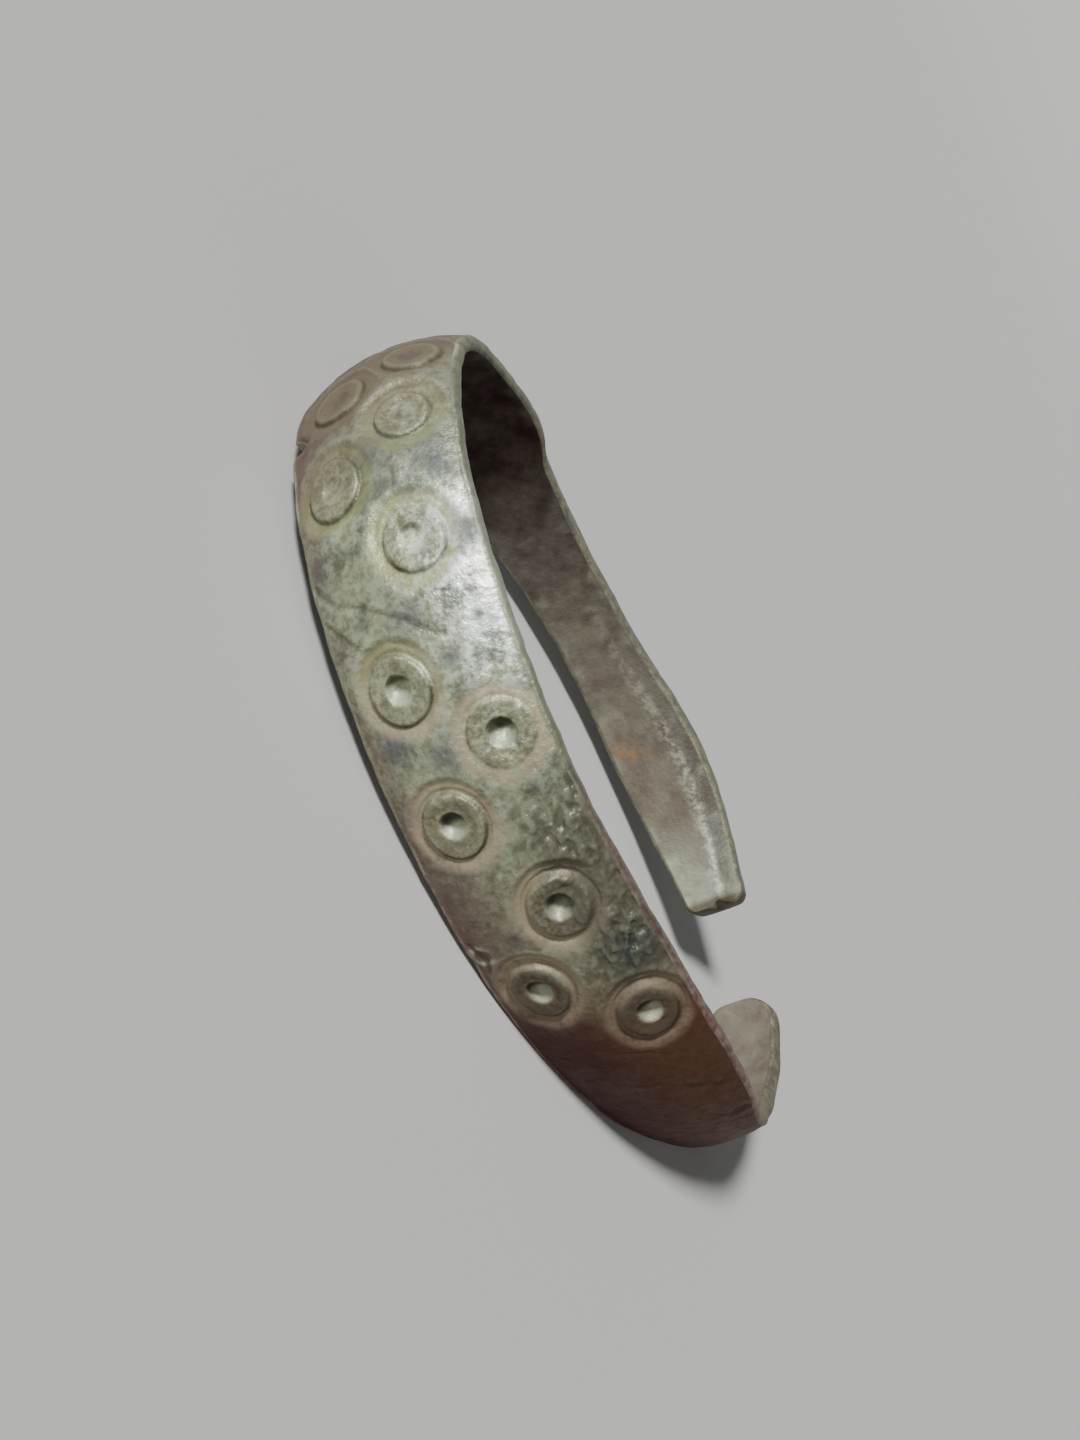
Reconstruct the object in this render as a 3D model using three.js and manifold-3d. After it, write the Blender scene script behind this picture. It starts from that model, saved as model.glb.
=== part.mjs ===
import * as THREE from 'three';
import Module from 'manifold-3d';

// Sizes in millimetres. The band is measured along the curve of its inner face, and heights
// across it are measured from its mid line.

// Length of the band from its short curled end to its long end. The loop that it is bent into
// keeps its form: places along it and bend radii are shares of this length.
const BAND_LENGTH = 153.8;

// Widths across the band and thicknesses of its edges.
const SHORT_TIP_WIDTH = 6.0;
const SHORT_ARM_WIDTH = 6.3;
const PANEL_WIDTH = 12.6;
const LONG_NECK_WIDTH = 6.2;
const LONG_ARM_WIDTH = 7.3;
const LONG_TIP_WIDTH = 4.9;
const PANEL_RIM = 1.1;
const SHORT_ARM_RIM = 1.7;
const LONG_NECK_RIM = 2.1;
const LONG_ARM_RIM = 2.6;
const LONG_TIP_RIM = 2.4;

// The outer face is domed and the inner face is hollow across the band.
const DOME_RADIUS = 13.0;
const HOLLOW_RADIUS = 30.0;
const RIM_CORNER = 0.3;
const SHORT_TIP_ROUND = 1.9;
const LONG_TIP_ROUND = 0.7;

// Facet that runs along the upper inner edge of the long arm.
const FACET_WIDTH = 1.7;
const FACET_DEPTH = 1.3;

const partWay = (from, to, share) => from + (to - from) * share;

// Stations along the band. at and bend, the radius of the inner face, are shares of its length,
// and lift, how far the mid line wanders off its plane, is a share of the panel's width.
// facet is how much of the long arm's facet is there.
const STATIONS = [
  { at: 0.015, bend: 0.063, lift: -0.02, width: SHORT_TIP_WIDTH, rim: SHORT_ARM_RIM },
  { at: 0.077, bend: 0.09, lift: -0.09, width: SHORT_ARM_WIDTH, rim: SHORT_ARM_RIM },
  { at: 0.129, bend: 0.155, lift: -0.02, ...shoulder(SHORT_ARM_WIDTH, SHORT_ARM_RIM, 0.14) },
  { at: 0.181, bend: 0.256, lift: 0.01, ...shoulder(SHORT_ARM_WIDTH, SHORT_ARM_RIM, 0.67) },
  { at: 0.259, bend: 0.297, lift: 0.02, width: PANEL_WIDTH, rim: PANEL_RIM },
  { at: 0.376, bend: 0.29, lift: 0.01, width: PANEL_WIDTH, rim: PANEL_RIM },
  { at: 0.48, bend: 0.167, lift: 0.02, width: PANEL_WIDTH, rim: PANEL_RIM },
  { at: 0.584, bend: 0.096, lift: 0.01, width: PANEL_WIDTH, rim: PANEL_RIM },
  { at: 0.662, bend: 0.101, lift: -0.03, ...shoulder(LONG_NECK_WIDTH, LONG_NECK_RIM, 0.84) },
  { at: 0.714, bend: 0.163, lift: -0.03, ...shoulder(LONG_NECK_WIDTH, LONG_NECK_RIM, 0.68) },
  { at: 0.759, bend: 0.278, lift: -0.04, ...shoulder(LONG_NECK_WIDTH, LONG_NECK_RIM, 0.2) },
  { at: 0.844, bend: 0.324, lift: 0.0, width: LONG_NECK_WIDTH, rim: LONG_NECK_RIM, facet: 0.3 },
  { at: 0.922, bend: 0.237, lift: 0.07, width: LONG_ARM_WIDTH, rim: LONG_ARM_RIM, facet: 1 },
  { at: 1.0, bend: 0.165, lift: 0.12, width: LONG_TIP_WIDTH, rim: LONG_TIP_RIM, facet: 1 },
].map((station) => ({
  width: station.width,
  rim: station.rim,
  facet: station.facet ?? 0,
  at: station.at * BAND_LENGTH,
  bend: station.bend * BAND_LENGTH,
  lift: station.lift * PANEL_WIDTH,
}));

// Where the panel narrows to an arm: share 0 is the arm and share 1 is the panel.
function shoulder(armWidth, armRim, share) {
  return {
    width: partWay(armWidth, PANEL_WIDTH, share),
    rim: partWay(armRim, PANEL_RIM, Math.sqrt(share)),
  };
}

// The plain middle of the panel, a share of the band's length, and its heading in plan.
const PANEL_MIDDLE = 0.4538 * BAND_LENGTH;
const PLAN_TURN_DEG = 153.4;

// Ring-and-dot marks, the same punch each time: a round pit, a flat ring left standing and
// a moat around it that rises outwards to the surface.
const PIT_RADIUS = 0.98;
const PIT_FLOOR_RADIUS = 0.55;
const RING_RADIUS = 2.1;
const RING_WALL = 0.12;
const MOAT_RADIUS = 3.05;
const MOAT_DEPTH = 0.42;
const DEEP_PIT = 0.68;
const WORN_PIT = 0.36;
const RING_SIDES = 22;
const PIT_SIDES = 12;

// Places of the marks, staggered in two rows on either side of the plain middle: along is a
// share of the band's length from there, and across is a share of the panel's width.
const MARKS = [
  { along: 0.1574, across: -0.19, pit: WORN_PIT },
  { along: 0.1287, across: 0.246, pit: WORN_PIT },
  { along: 0.1118, across: -0.167, pit: WORN_PIT },
  { along: 0.0852, across: 0.222, pit: WORN_PIT },
  { along: 0.065, across: -0.222, pit: WORN_PIT },
  { along: 0.0312, across: 0.159, pit: WORN_PIT },
  { along: -0.0221, across: -0.167, pit: DEEP_PIT },
  { along: -0.0514, across: 0.254, pit: DEEP_PIT },
  { along: -0.08, across: -0.183, pit: DEEP_PIT },
  { along: -0.1274, across: 0.135, pit: DEEP_PIT },
  { along: -0.1638, across: -0.222, pit: DEEP_PIT },
  { along: -0.1931, across: 0.246, pit: DEEP_PIT },
].map((mark) => ({
  along: PANEL_MIDDLE + mark.along * BAND_LENGTH,
  across: mark.across * PANEL_WIDTH,
  pit: mark.pit,
}));

// A chip out of the lower edge, a bruise in the upper edge and a broken nick in the long end.
const CHIP_AT = 0.555 * BAND_LENGTH;
const CHIP_LENGTH = 1.5;
const CHIP_DEPTH = 1.0;
const BRUISE_AT = 0.7366 * BAND_LENGTH;
const BRUISE_LENGTH = 3.2;
const BRUISE_DEPTH = 0.3;
const NICK_ACROSS = 0.4;
const NICK_WIDTH = 1.1;
const NICK_DEPTH = 0.4;
const NICK_THICKNESS = 1.1;

// Depth worn flat where the band touches the table.
const WORN_FLAT = 0.12;

// How far a cutter reaches past the surface that it opens.
const CUT_OVER = 0.4;

const COLUMNS = 100;
const DOME_FACETS = 10;
const PATH_STEPS = 612;
const TOUCH_STEPS = 38;

function stationIndex(s) {
  let i = 0;
  while (i < STATIONS.length - 2 && s >= STATIONS[i + 1].at) {
    i += 1;
  }
  return i;
}

// Smooth value of one station size at the length s.
function smoothSize(key, s) {
  const last = STATIONS.length - 1;
  const slope = (i) => {
    const a = STATIONS[Math.max(i - 1, 0)];
    const b = STATIONS[Math.min(i + 1, last)];
    return (b[key] - a[key]) / (b.at - a.at);
  };
  const inside = Math.min(Math.max(s, STATIONS[0].at), STATIONS[last].at);
  const i = stationIndex(inside);
  const a = STATIONS[i];
  const b = STATIONS[i + 1];
  const h = b.at - a.at;
  const t = (inside - a.at) / h;
  const rise = t * t * (3 - 2 * t);
  const out = t * (1 - t) * (1 - t);
  const back = t * t * (t - 1);
  return a[key] + (b[key] - a[key]) * rise + h * (slope(i) * out + slope(i + 1) * back);
}

function curvature(s) {
  const last = STATIONS.length - 1;
  const inside = Math.min(Math.max(s, STATIONS[0].at), STATIONS[last].at);
  const i = stationIndex(inside);
  const a = STATIONS[i];
  const b = STATIONS[i + 1];
  const t = (inside - a.at) / (b.at - a.at);
  return (1 - t) / a.bend + t / b.bend;
}

// The inner face in plan: points walked along the band with its heading turning steadily.
function walkPath() {
  const step = BAND_LENGTH / PATH_STEPS;
  const points = [];
  let heading = 0;
  let x = 0;
  let y = 0;
  for (let i = 0; i <= PATH_STEPS; i += 1) {
    points.push({ x, y, heading });
    const turned = curvature((i + 0.5) * step) * step;
    x += Math.cos(heading - turned / 2) * step;
    y += Math.sin(heading - turned / 2) * step;
    heading -= turned;
  }
  return { points, step };
}

const path = walkPath();

function pathAt(s) {
  const along = s / path.step;
  const i = Math.min(Math.max(Math.floor(along), 0), path.points.length - 2);
  const t = along - i;
  const a = path.points[i];
  const b = path.points[i + 1];
  return {
    x: a.x + (b.x - a.x) * t,
    y: a.y + (b.y - a.y) * t,
    heading: a.heading + (b.heading - a.heading) * t,
  };
}

// The path is turned in plan so that the middle of the panel heads the right way.
const planTurn = THREE.MathUtils.degToRad(PLAN_TURN_DEG) - pathAt(PANEL_MIDDLE).heading;

// Narrowing of the band where an end is rounded off.
function endNarrowing(toEnd, round) {
  if (toEnd >= round) {
    return 0;
  }
  const short = round - Math.max(toEnd, 0);
  return round - Math.sqrt(round * round - short * short);
}

function halfWidth(s) {
  const cut =
    endNarrowing(s, SHORT_TIP_ROUND) + endNarrowing(BAND_LENGTH - s, LONG_TIP_ROUND);
  return smoothSize('width', s) / 2 - cut;
}

function bulge(radius, half, across) {
  const r = Math.max(radius, half * 1.01);
  return Math.sqrt(Math.max(r * r - across * across, 0)) - Math.sqrt(r * r - half * half);
}

function outerHeight(s, across) {
  return smoothSize('rim', s) + bulge(DOME_RADIUS, halfWidth(s), across);
}

// A point of the band before it is laid down: along it, across it and out from its inner face.
function loosePoint(s, across, out) {
  const p = pathAt(s);
  const x = p.x - Math.sin(p.heading) * out;
  const y = p.y + Math.cos(p.heading) * out;
  const c = Math.cos(planTurn);
  const k = Math.sin(planTurn);
  return new THREE.Vector3(c * x - k * y, k * x + c * y, smoothSize('lift', s) + across);
}

// The way the loose band comes to lie: the three places of its lower edge that carry it.
function restingPlane() {
  const edge = [];
  const centre = new THREE.Vector3();
  let weight = 0;
  for (let i = 0; i <= TOUCH_STEPS; i += 1) {
    const s = (BAND_LENGTH * i) / TOUCH_STEPS;
    const rim = smoothSize('rim', s);
    const half = halfWidth(s);
    const crown = outerHeight(s, 0);
    edge.push(loosePoint(s, -half, rim / 2));
    const area = half * (rim + crown);
    centre.addScaledVector(loosePoint(s, 0, crown / 2), area);
    weight += area;
  }
  centre.divideScalar(weight);
  let best = null;
  for (let i = 0; i < edge.length; i += 1) {
    for (let j = i + 1; j < edge.length; j += 1) {
      for (let k = j + 1; k < edge.length; k += 1) {
        const plane = new THREE.Plane().setFromCoplanarPoints(edge[i], edge[j], edge[k]);
        if (plane.normal.z < 0) {
          plane.negate();
        }
        if (plane.normal.z < 0.5) {
          continue;
        }
        if (edge.some((p) => plane.distanceToPoint(p) < -1e-6)) {
          continue;
        }
        const height = plane.distanceToPoint(centre) / plane.normal.z;
        if (best === null || height < best.height) {
          best = { plane, height };
        }
      }
    }
  }
  return best.plane;
}

const restPlane = restingPlane();
const upright = new THREE.Quaternion().setFromUnitVectors(
  restPlane.normal,
  new THREE.Vector3(0, 0, 1),
);

function tiltedPoint(s, across, out) {
  return loosePoint(s, across, out).applyQuaternion(upright);
}

// Height of the inner face, hollow across the band and cut back by the long arm's facet.
function innerHeight(s, across) {
  const half = halfWidth(s);
  const facet = Math.max((across - half + FACET_WIDTH) / FACET_WIDTH, 0);
  return bulge(HOLLOW_RADIUS, half, across) + smoothSize('facet', s) * FACET_DEPTH * facet;
}

// Outline of the band's cross-section at s, as pairs: across it and out from its inner face.
function section(s) {
  const half = halfWidth(s);
  const rim = smoothSize('rim', s);
  const corner = Math.min(RIM_CORNER, rim / 3, half / 3);
  const flat = half - corner;
  const pairs = [];
  for (let i = 0; i <= DOME_FACETS; i += 1) {
    const across = -flat + (2 * flat * i) / DOME_FACETS;
    pairs.push([across, rim + bulge(DOME_RADIUS, half, across)]);
  }
  pairs.push([half, rim - corner]);
  pairs.push([half, Math.min(innerHeight(s, half) + corner, rim - 1.5 * corner)]);
  const ridge = Math.max(half - FACET_WIDTH, flat / 3);
  for (const across of [flat, ridge, 0, -flat / 2, -flat]) {
    pairs.push([across, innerHeight(s, across)]);
  }
  pairs.push([-half, corner]);
  pairs.push([-half, rim - corner]);
  return pairs;
}

// Lengths at which the band gets a cross-section: even steps, closer where an end rounds off.
function columns() {
  const list = [];
  const roundSteps = [0, 0.12, 0.4];
  for (const t of roundSteps) {
    list.push(SHORT_TIP_ROUND * t);
  }
  const to = BAND_LENGTH - LONG_TIP_ROUND;
  for (let i = 0; i <= COLUMNS; i += 1) {
    list.push(partWay(SHORT_TIP_ROUND, to, i / COLUMNS));
  }
  for (const t of roundSteps.slice().reverse()) {
    list.push(BAND_LENGTH - LONG_TIP_ROUND * t);
  }
  return list;
}

const wasm = await Module();
wasm.setup();

// Solid from a closed surface, with its triangles turned to face outwards.
function toManifold(vertices, triangles) {
  const build = (order) =>
    new wasm.Manifold(
      new wasm.Mesh({
        numProp: 3,
        vertProperties: new Float32Array(vertices),
        triVerts: new Uint32Array(order),
      }),
    );
  const solid = build(triangles);
  return solid.volume() > 0 ? solid : build(triangles.slice().reverse());
}

// Closed solid from rows of points, one ring after another, with a fan over each end ring.
function closedRows(rows) {
  const around = rows[0].length;
  const vertices = [];
  const triangles = [];
  for (const row of rows) {
    for (const p of row) {
      vertices.push(p.x, p.y, p.z);
    }
  }
  for (let i = 0; i < rows.length - 1; i += 1) {
    for (let j = 0; j < around; j += 1) {
      const k = (j + 1) % around;
      const a = i * around + j;
      const b = i * around + k;
      triangles.push(a, b, a + around);
      triangles.push(b, b + around, a + around);
    }
  }
  for (const end of [0, rows.length - 1]) {
    const middle = new THREE.Vector3();
    for (const p of rows[end]) {
      middle.addScaledVector(p, 1 / around);
    }
    const hub = vertices.length / 3;
    vertices.push(middle.x, middle.y, middle.z);
    for (let j = 0; j < around; j += 1) {
      const a = end * around + j;
      const b = end * around + ((j + 1) % around);
      if (end === 0) {
        triangles.push(b, a, hub);
      } else {
        triangles.push(a, b, hub);
      }
    }
  }
  return toManifold(vertices, triangles);
}

// Point over the domed face at a distance and a turn from the middle of a mark, measured on
// that face, which is longer than the inner one where the band bends.
function aroundMark(mark, radius, turn, height) {
  const stretch = 1 + outerHeight(mark.along, mark.across) * curvature(mark.along);
  const s = mark.along + (radius * Math.cos(turn)) / stretch;
  const middle = Math.asin(Math.max(-0.9, Math.min(0.9, mark.across / DOME_RADIUS)));
  const across = DOME_RADIUS * Math.sin(middle + (radius * Math.sin(turn)) / DOME_RADIUS);
  return place(s, across, outerHeight(s, across) + height);
}

// Closed ring around a mark, with its profile as distance from the middle and height over
// the domed face.
function ringCutter(mark, profile, sides) {
  const vertices = [];
  const triangles = [];
  const count = profile.length;
  for (let i = 0; i < sides; i += 1) {
    for (const [radius, height] of profile) {
      const p = aroundMark(mark, radius, (2 * Math.PI * i) / sides, height);
      vertices.push(p.x, p.y, p.z);
    }
  }
  for (let i = 0; i < sides; i += 1) {
    const next = (i + 1) % sides;
    for (let j = 0; j < count; j += 1) {
      const k = (j + 1) % count;
      const a = i * count + j;
      const b = i * count + k;
      const c = next * count + j;
      const d = next * count + k;
      triangles.push(a, c, b);
      triangles.push(b, c, d);
    }
  }
  return toManifold(vertices, triangles);
}

// Closed plug for the pit of a mark, a cone with a flat floor.
function pitCutter(mark) {
  const slope = (PIT_RADIUS - PIT_FLOOR_RADIUS) / mark.pit;
  const levels = [
    [PIT_FLOOR_RADIUS, -mark.pit],
    [PIT_RADIUS + slope * CUT_OVER, CUT_OVER],
  ];
  const rows = levels.map(([radius, height]) => {
    const row = [];
    for (let i = 0; i < PIT_SIDES; i += 1) {
      row.push(aroundMark(mark, radius, (2 * Math.PI * i) / PIT_SIDES, height));
    }
    return row;
  });
  return closedRows(rows);
}

function moatCutter(mark) {
  const slope = (MOAT_RADIUS - RING_RADIUS - RING_WALL) / MOAT_DEPTH;
  const profile = [
    [RING_RADIUS + RING_WALL, -MOAT_DEPTH],
    [MOAT_RADIUS + slope * CUT_OVER, CUT_OVER],
    [RING_RADIUS, CUT_OVER],
  ];
  return ringCutter(mark, profile, RING_SIDES);
}

// Prism through the band's thickness over a triangle, whose corners are lengths and heights
// across. It starts before the inner face and runs out to the height given.
function wedge(corners, outTo) {
  const rows = [-CUT_OVER, outTo].map((out) => corners.map(([s, across]) => place(s, across, out)));
  return closedRows(rows);
}

// Wedge taken out of an edge, across the whole thickness. side is +1 or -1.
function edgeWedge(at, length, depth, side) {
  const half = halfWidth(at);
  const corners = [
    [at - length, side * (half + depth)],
    [at + length, side * (half + depth)],
    [at, side * (half - depth)],
  ];
  return wedge(corners, outerHeight(at, 0) + CUT_OVER);
}

// Broken nick in the long end, out of the inner part of its thickness.
function nickCutter() {
  const corners = [
    [BAND_LENGTH + NICK_DEPTH, NICK_ACROSS - NICK_WIDTH],
    [BAND_LENGTH + NICK_DEPTH, NICK_ACROSS + NICK_WIDTH],
    [BAND_LENGTH - NICK_DEPTH, NICK_ACROSS],
  ];
  return wedge(corners, NICK_THICKNESS);
}

// The band is laid down: its touching plane level and its outline centred over the origin.
const box = new THREE.Box3();
for (const s of columns()) {
  for (const [across, out] of section(s)) {
    box.expandByPoint(tiltedPoint(s, across, out));
  }
}
const middle = box.getCenter(new THREE.Vector3());
const drop = new THREE.Vector3(-middle.x, -middle.y, restPlane.constant - WORN_FLAT);

function place(s, across, out) {
  return tiltedPoint(s, across, out).add(drop);
}

function makeBand() {
  const rows = columns().map((s) => section(s).map(([across, out]) => place(s, across, out)));
  let band = closedRows(rows);
  const cuts = [];
  for (const mark of MARKS) {
    cuts.push(moatCutter(mark));
    cuts.push(pitCutter(mark));
  }
  cuts.push(edgeWedge(CHIP_AT, CHIP_LENGTH, CHIP_DEPTH, -1));
  cuts.push(edgeWedge(BRUISE_AT, BRUISE_LENGTH, BRUISE_DEPTH, 1));
  cuts.push(nickCutter());
  for (const cut of cuts) {
    band = band.subtract(cut);
  }
  return band.trimByPlane([0, 0, 1], 0);
}

function toGeometry(solid) {
  const mesh = solid.getMesh();
  const geometry = new THREE.BufferGeometry();
  geometry.setAttribute('position', new THREE.BufferAttribute(mesh.vertProperties, mesh.numProp));
  geometry.setIndex(new THREE.BufferAttribute(mesh.triVerts, 1));
  geometry.computeVertexNormals();
  return geometry;
}

const bronze = new THREE.MeshStandardMaterial({ color: 0x7d7860, metalness: 0.8, roughness: 0.45 });

const bracelet = new THREE.Mesh(toGeometry(makeBand()), bronze);
bracelet.name = 'bracelet';

const part = new THREE.Group();
part.name = 'bronze_bracelet';
part.add(bracelet);

export default part;
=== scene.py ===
import itertools
import math

import bpy
import numpy as np
from mathutils import Matrix, Vector


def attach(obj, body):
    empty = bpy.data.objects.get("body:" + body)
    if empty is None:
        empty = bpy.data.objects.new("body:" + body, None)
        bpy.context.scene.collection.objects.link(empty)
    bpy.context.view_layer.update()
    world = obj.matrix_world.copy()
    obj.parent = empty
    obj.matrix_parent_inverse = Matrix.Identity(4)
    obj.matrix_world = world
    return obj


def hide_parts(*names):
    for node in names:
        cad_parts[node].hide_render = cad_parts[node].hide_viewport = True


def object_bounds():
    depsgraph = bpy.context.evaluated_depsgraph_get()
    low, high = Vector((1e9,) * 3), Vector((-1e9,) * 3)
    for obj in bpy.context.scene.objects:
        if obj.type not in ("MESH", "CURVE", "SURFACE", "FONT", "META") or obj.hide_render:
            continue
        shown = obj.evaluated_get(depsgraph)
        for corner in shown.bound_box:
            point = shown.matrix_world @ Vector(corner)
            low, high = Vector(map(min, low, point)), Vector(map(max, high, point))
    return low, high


# Sizes in millimetres, as in the part's source. The band is measured along the curve of its
# inner face from its short curled end, and places and bends are shares of its length.

MM = 0.001

LENGTH = 153.8

SHORT_TIP_WIDTH = 6.0
SHORT_ARM_WIDTH = 6.3
PANEL_WIDTH = 12.6
LONG_NECK_WIDTH = 6.2
LONG_ARM_WIDTH = 7.3
LONG_TIP_WIDTH = 4.9
PANEL_RIM = 1.1
SHORT_ARM_RIM = 1.7
LONG_NECK_RIM = 2.1
LONG_ARM_RIM = 2.6
LONG_TIP_RIM = 2.4

DOME_RADIUS = 13.0
HOLLOW_RADIUS = 30.0
RIM_ROUND = 0.42
ROUND_OF_RIM = 0.42
ROUND_SHARE = 0.45
SHORT_TIP_ROUND = 1.9
LONG_TIP_ROUND = 0.7
FACET_WIDTH = 1.7
FACET_DEPTH = 1.3


def shoulder(arm_width, arm_rim, share):
    """Width and rim where the panel narrows to an arm."""
    width = arm_width + (PANEL_WIDTH - arm_width) * share
    return width, arm_rim + (PANEL_RIM - arm_rim) * math.sqrt(share)


PANEL = (PANEL_WIDTH, PANEL_RIM)
SHORT_ARM = (SHORT_ARM_WIDTH, SHORT_ARM_RIM)
LONG_NECK = (LONG_NECK_WIDTH, LONG_NECK_RIM)

# Stations: place, bend radius, lift of the mid line, width and rim, and the arm's facet.
STATIONS = np.array(
    [
        (0.015, 0.063, -0.02, SHORT_TIP_WIDTH, SHORT_ARM_RIM, 0),
        (0.077, 0.09, -0.09, *SHORT_ARM, 0),
        (0.129, 0.155, -0.02, *shoulder(*SHORT_ARM, 0.14), 0),
        (0.181, 0.256, 0.01, *shoulder(*SHORT_ARM, 0.67), 0),
        (0.259, 0.297, 0.02, *PANEL, 0),
        (0.376, 0.29, 0.01, *PANEL, 0),
        (0.48, 0.167, 0.02, *PANEL, 0),
        (0.584, 0.096, 0.01, *PANEL, 0),
        (0.662, 0.101, -0.03, *shoulder(*LONG_NECK, 0.84), 0),
        (0.714, 0.163, -0.03, *shoulder(*LONG_NECK, 0.68), 0),
        (0.759, 0.278, -0.04, *shoulder(*LONG_NECK, 0.2), 0),
        (0.844, 0.324, 0.0, *LONG_NECK, 0.3),
        (0.922, 0.237, 0.07, LONG_ARM_WIDTH, LONG_ARM_RIM, 1),
        (1.0, 0.165, 0.12, LONG_TIP_WIDTH, LONG_TIP_RIM, 1),
    ]
)
STATIONS[:, :2] *= LENGTH
STATIONS[:, 2] *= PANEL_WIDTH
AT, BEND, LIFT, WIDTH, RIM, FACET = range(6)

MIDDLE = 0.4538 * LENGTH
PLAN_TURN_DEG = 153.4
WORN_FLAT = 0.12
PATH_STEPS = 612
TOUCH_STEPS = 38
STEEPEST_REST = 0.5

# Grid of the fine mesh: where the marked and plain parts of the panel start and end, steps
# along them and along the arms, and rows around the section.
PLAIN_FROM = 0.142 * LENGTH
MARKED_FROM = 0.235 * LENGTH
MARKED_TO = 0.636 * LENGTH
PLAIN_TO = 0.735 * LENGTH
MARKED_STEP = 0.112
PLAIN_STEP = 0.24
ARM_STEP = 0.5
OUTER_ROWS = 92
INNER_ROWS = 12
CORNER_ROWS = 3
END_COLUMNS = 8

# Ring-and-dot marks: along from the panel's middle as a share of the band, across as a share
# of the panel's width, depths of the pit and the moat, size of the ring as a share of
# RING_RADIUS, and grain of the ring.
MARKS = [
    (0.1574, -0.19, 0.30, 0.32, 1.0, 0.8),
    (0.1287, 0.246, 0.24, 0.32, 0.98, 0.9),
    (0.1118, -0.167, 0.24, 0.32, 0.98, 0.9),
    (0.0875, 0.218, 0.14, 0.36, 0.90, 1.6),
    (0.065, -0.226, 0.34, 0.38, 1.02, 1.1),
    (0.0312, 0.159, 0.50, 0.38, 1.0, 1.3),
    (-0.0221, -0.167, 0.80, 0.42, 1.05, 1.4),
    (-0.0514, 0.254, 0.85, 0.36, 1.02, 2.4),
    (-0.08, -0.183, 0.85, 0.44, 1.04, 1.4),
    (-0.1274, 0.135, 0.85, 0.50, 0.94, 1.8),
    (-0.1638, -0.222, 0.85, 0.48, 0.96, 1.2),
    (-0.1931, 0.246, 0.80, 0.46, 0.94, 1.2),
]

# Places in that list: the mark whose ring has a gap, with the worn marks of the top bend
# before it, the mark whose moat merges with the panel, the first mark with a shaded pit, and
# the first of the low marks, whose rings slope broadly into their moats.
GAP_MARK = 5
MERGING_MARK = 7
SHADED_PITS_FROM = 7
LOW_MARKS_FROM = 9

# Profile of a mark. The pit slants, the ring is dished toward it, and the moat is deepest on
# its upper side, where its outer bank is also steepest.
MARK_REACH = 5.0
PIT_RADIUS = 1.0
STEEPNESS = 2.2
PIT_SLANT = 0.24
RING_RADIUS = 2.0
RING_DISH = 0.14
RING_STRETCH = 1.06
RING_LIP = 0.1
RING_WALL = 0.22
LOW_RING_WALL = 0.6
MOAT_RADIUS = 3.3
MOAT_FLOOR_RADIUS = 2.7
MOAT_FLOOR_RISE = 0.3
MOAT_BANK = 1.1
BANK_NARROWING = 0.65
MOAT_BANK_OVER = 0.15
MOAT_LOWER_SHARE = 0.75
MOAT_UPPER_GAIN = 0.45

# Masks of a mark's pit, ring and moat: where they fade in and out.
RING_MASK_FROM = (PIT_RADIUS - 0.05, PIT_RADIUS + 0.15)
RING_MASK_FADE = 0.15
PIT_MASK_TO = (PIT_RADIUS - 0.25, PIT_RADIUS + 0.05)
PIT_MASK_LOWER = 1.15
MOAT_MASK_FROM = (0.1, 0.35)
MOAT_MASK_TO = (MOAT_RADIUS - 0.5, MOAT_RADIUS + 0.2)
MARK_MASK_TO = (MOAT_RADIUS, MOAT_RADIUS + 0.6)
CLEAR_OF_MARK = (MOAT_RADIUS - 0.6, MOAT_RADIUS)

# Noises of the relief are rows of height, size of the features, seed and number of layers.
# Unevenness of a mark: its outline, its pit, and the grain of its ring.
WOBBLE = (1, 2.2, 5, 2)
OUTLINE_WAVE = 0.02
OUTLINE_WOBBLE = 0.025
PIT_WOBBLE = 0.06
GRAIN = (0.035, 0.55, 67, 2)

# The merging moat is full only at this angle around the mark, and keeps a share elsewhere.
MERGING_ANGLE = -0.5
MERGING_WIDTH = 1.3
MERGING_LEAST = 0.25

# The gap in one ring: its angle around the mark, half width, depth and start from the middle.
GAP_ANGLE = 2.5
GAP_WIDTH = 0.35
GAP_DEPTH = 0.2
GAP_FROM = (1.2, 1.6)
GAP_FADE = 0.3

# Painted shade on a mark: on the steep upper pit walls, at the ring's foot and in the pit.
STEEP_WALL = (0.4, 1.2)
STEEP_WALL_TO = (PIT_RADIUS + 0.1, PIT_RADIUS - 0.05)
FOOT_FROM_RING = (-0.04, 0.12, 0.16, 0.36)
FOOT_TURN = 0.3
FOOT_SHADE = (0.0, 0.7)
FOOT_FULL_MOAT = 0.4
FOOT_SHARE = 0.8
WORN_FOOT_SHARE = 0.55
PIT_SHADE = (-0.1, 0.35)
PIT_SHADE_TO = (PIT_RADIUS - 0.2, PIT_RADIUS)

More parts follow.
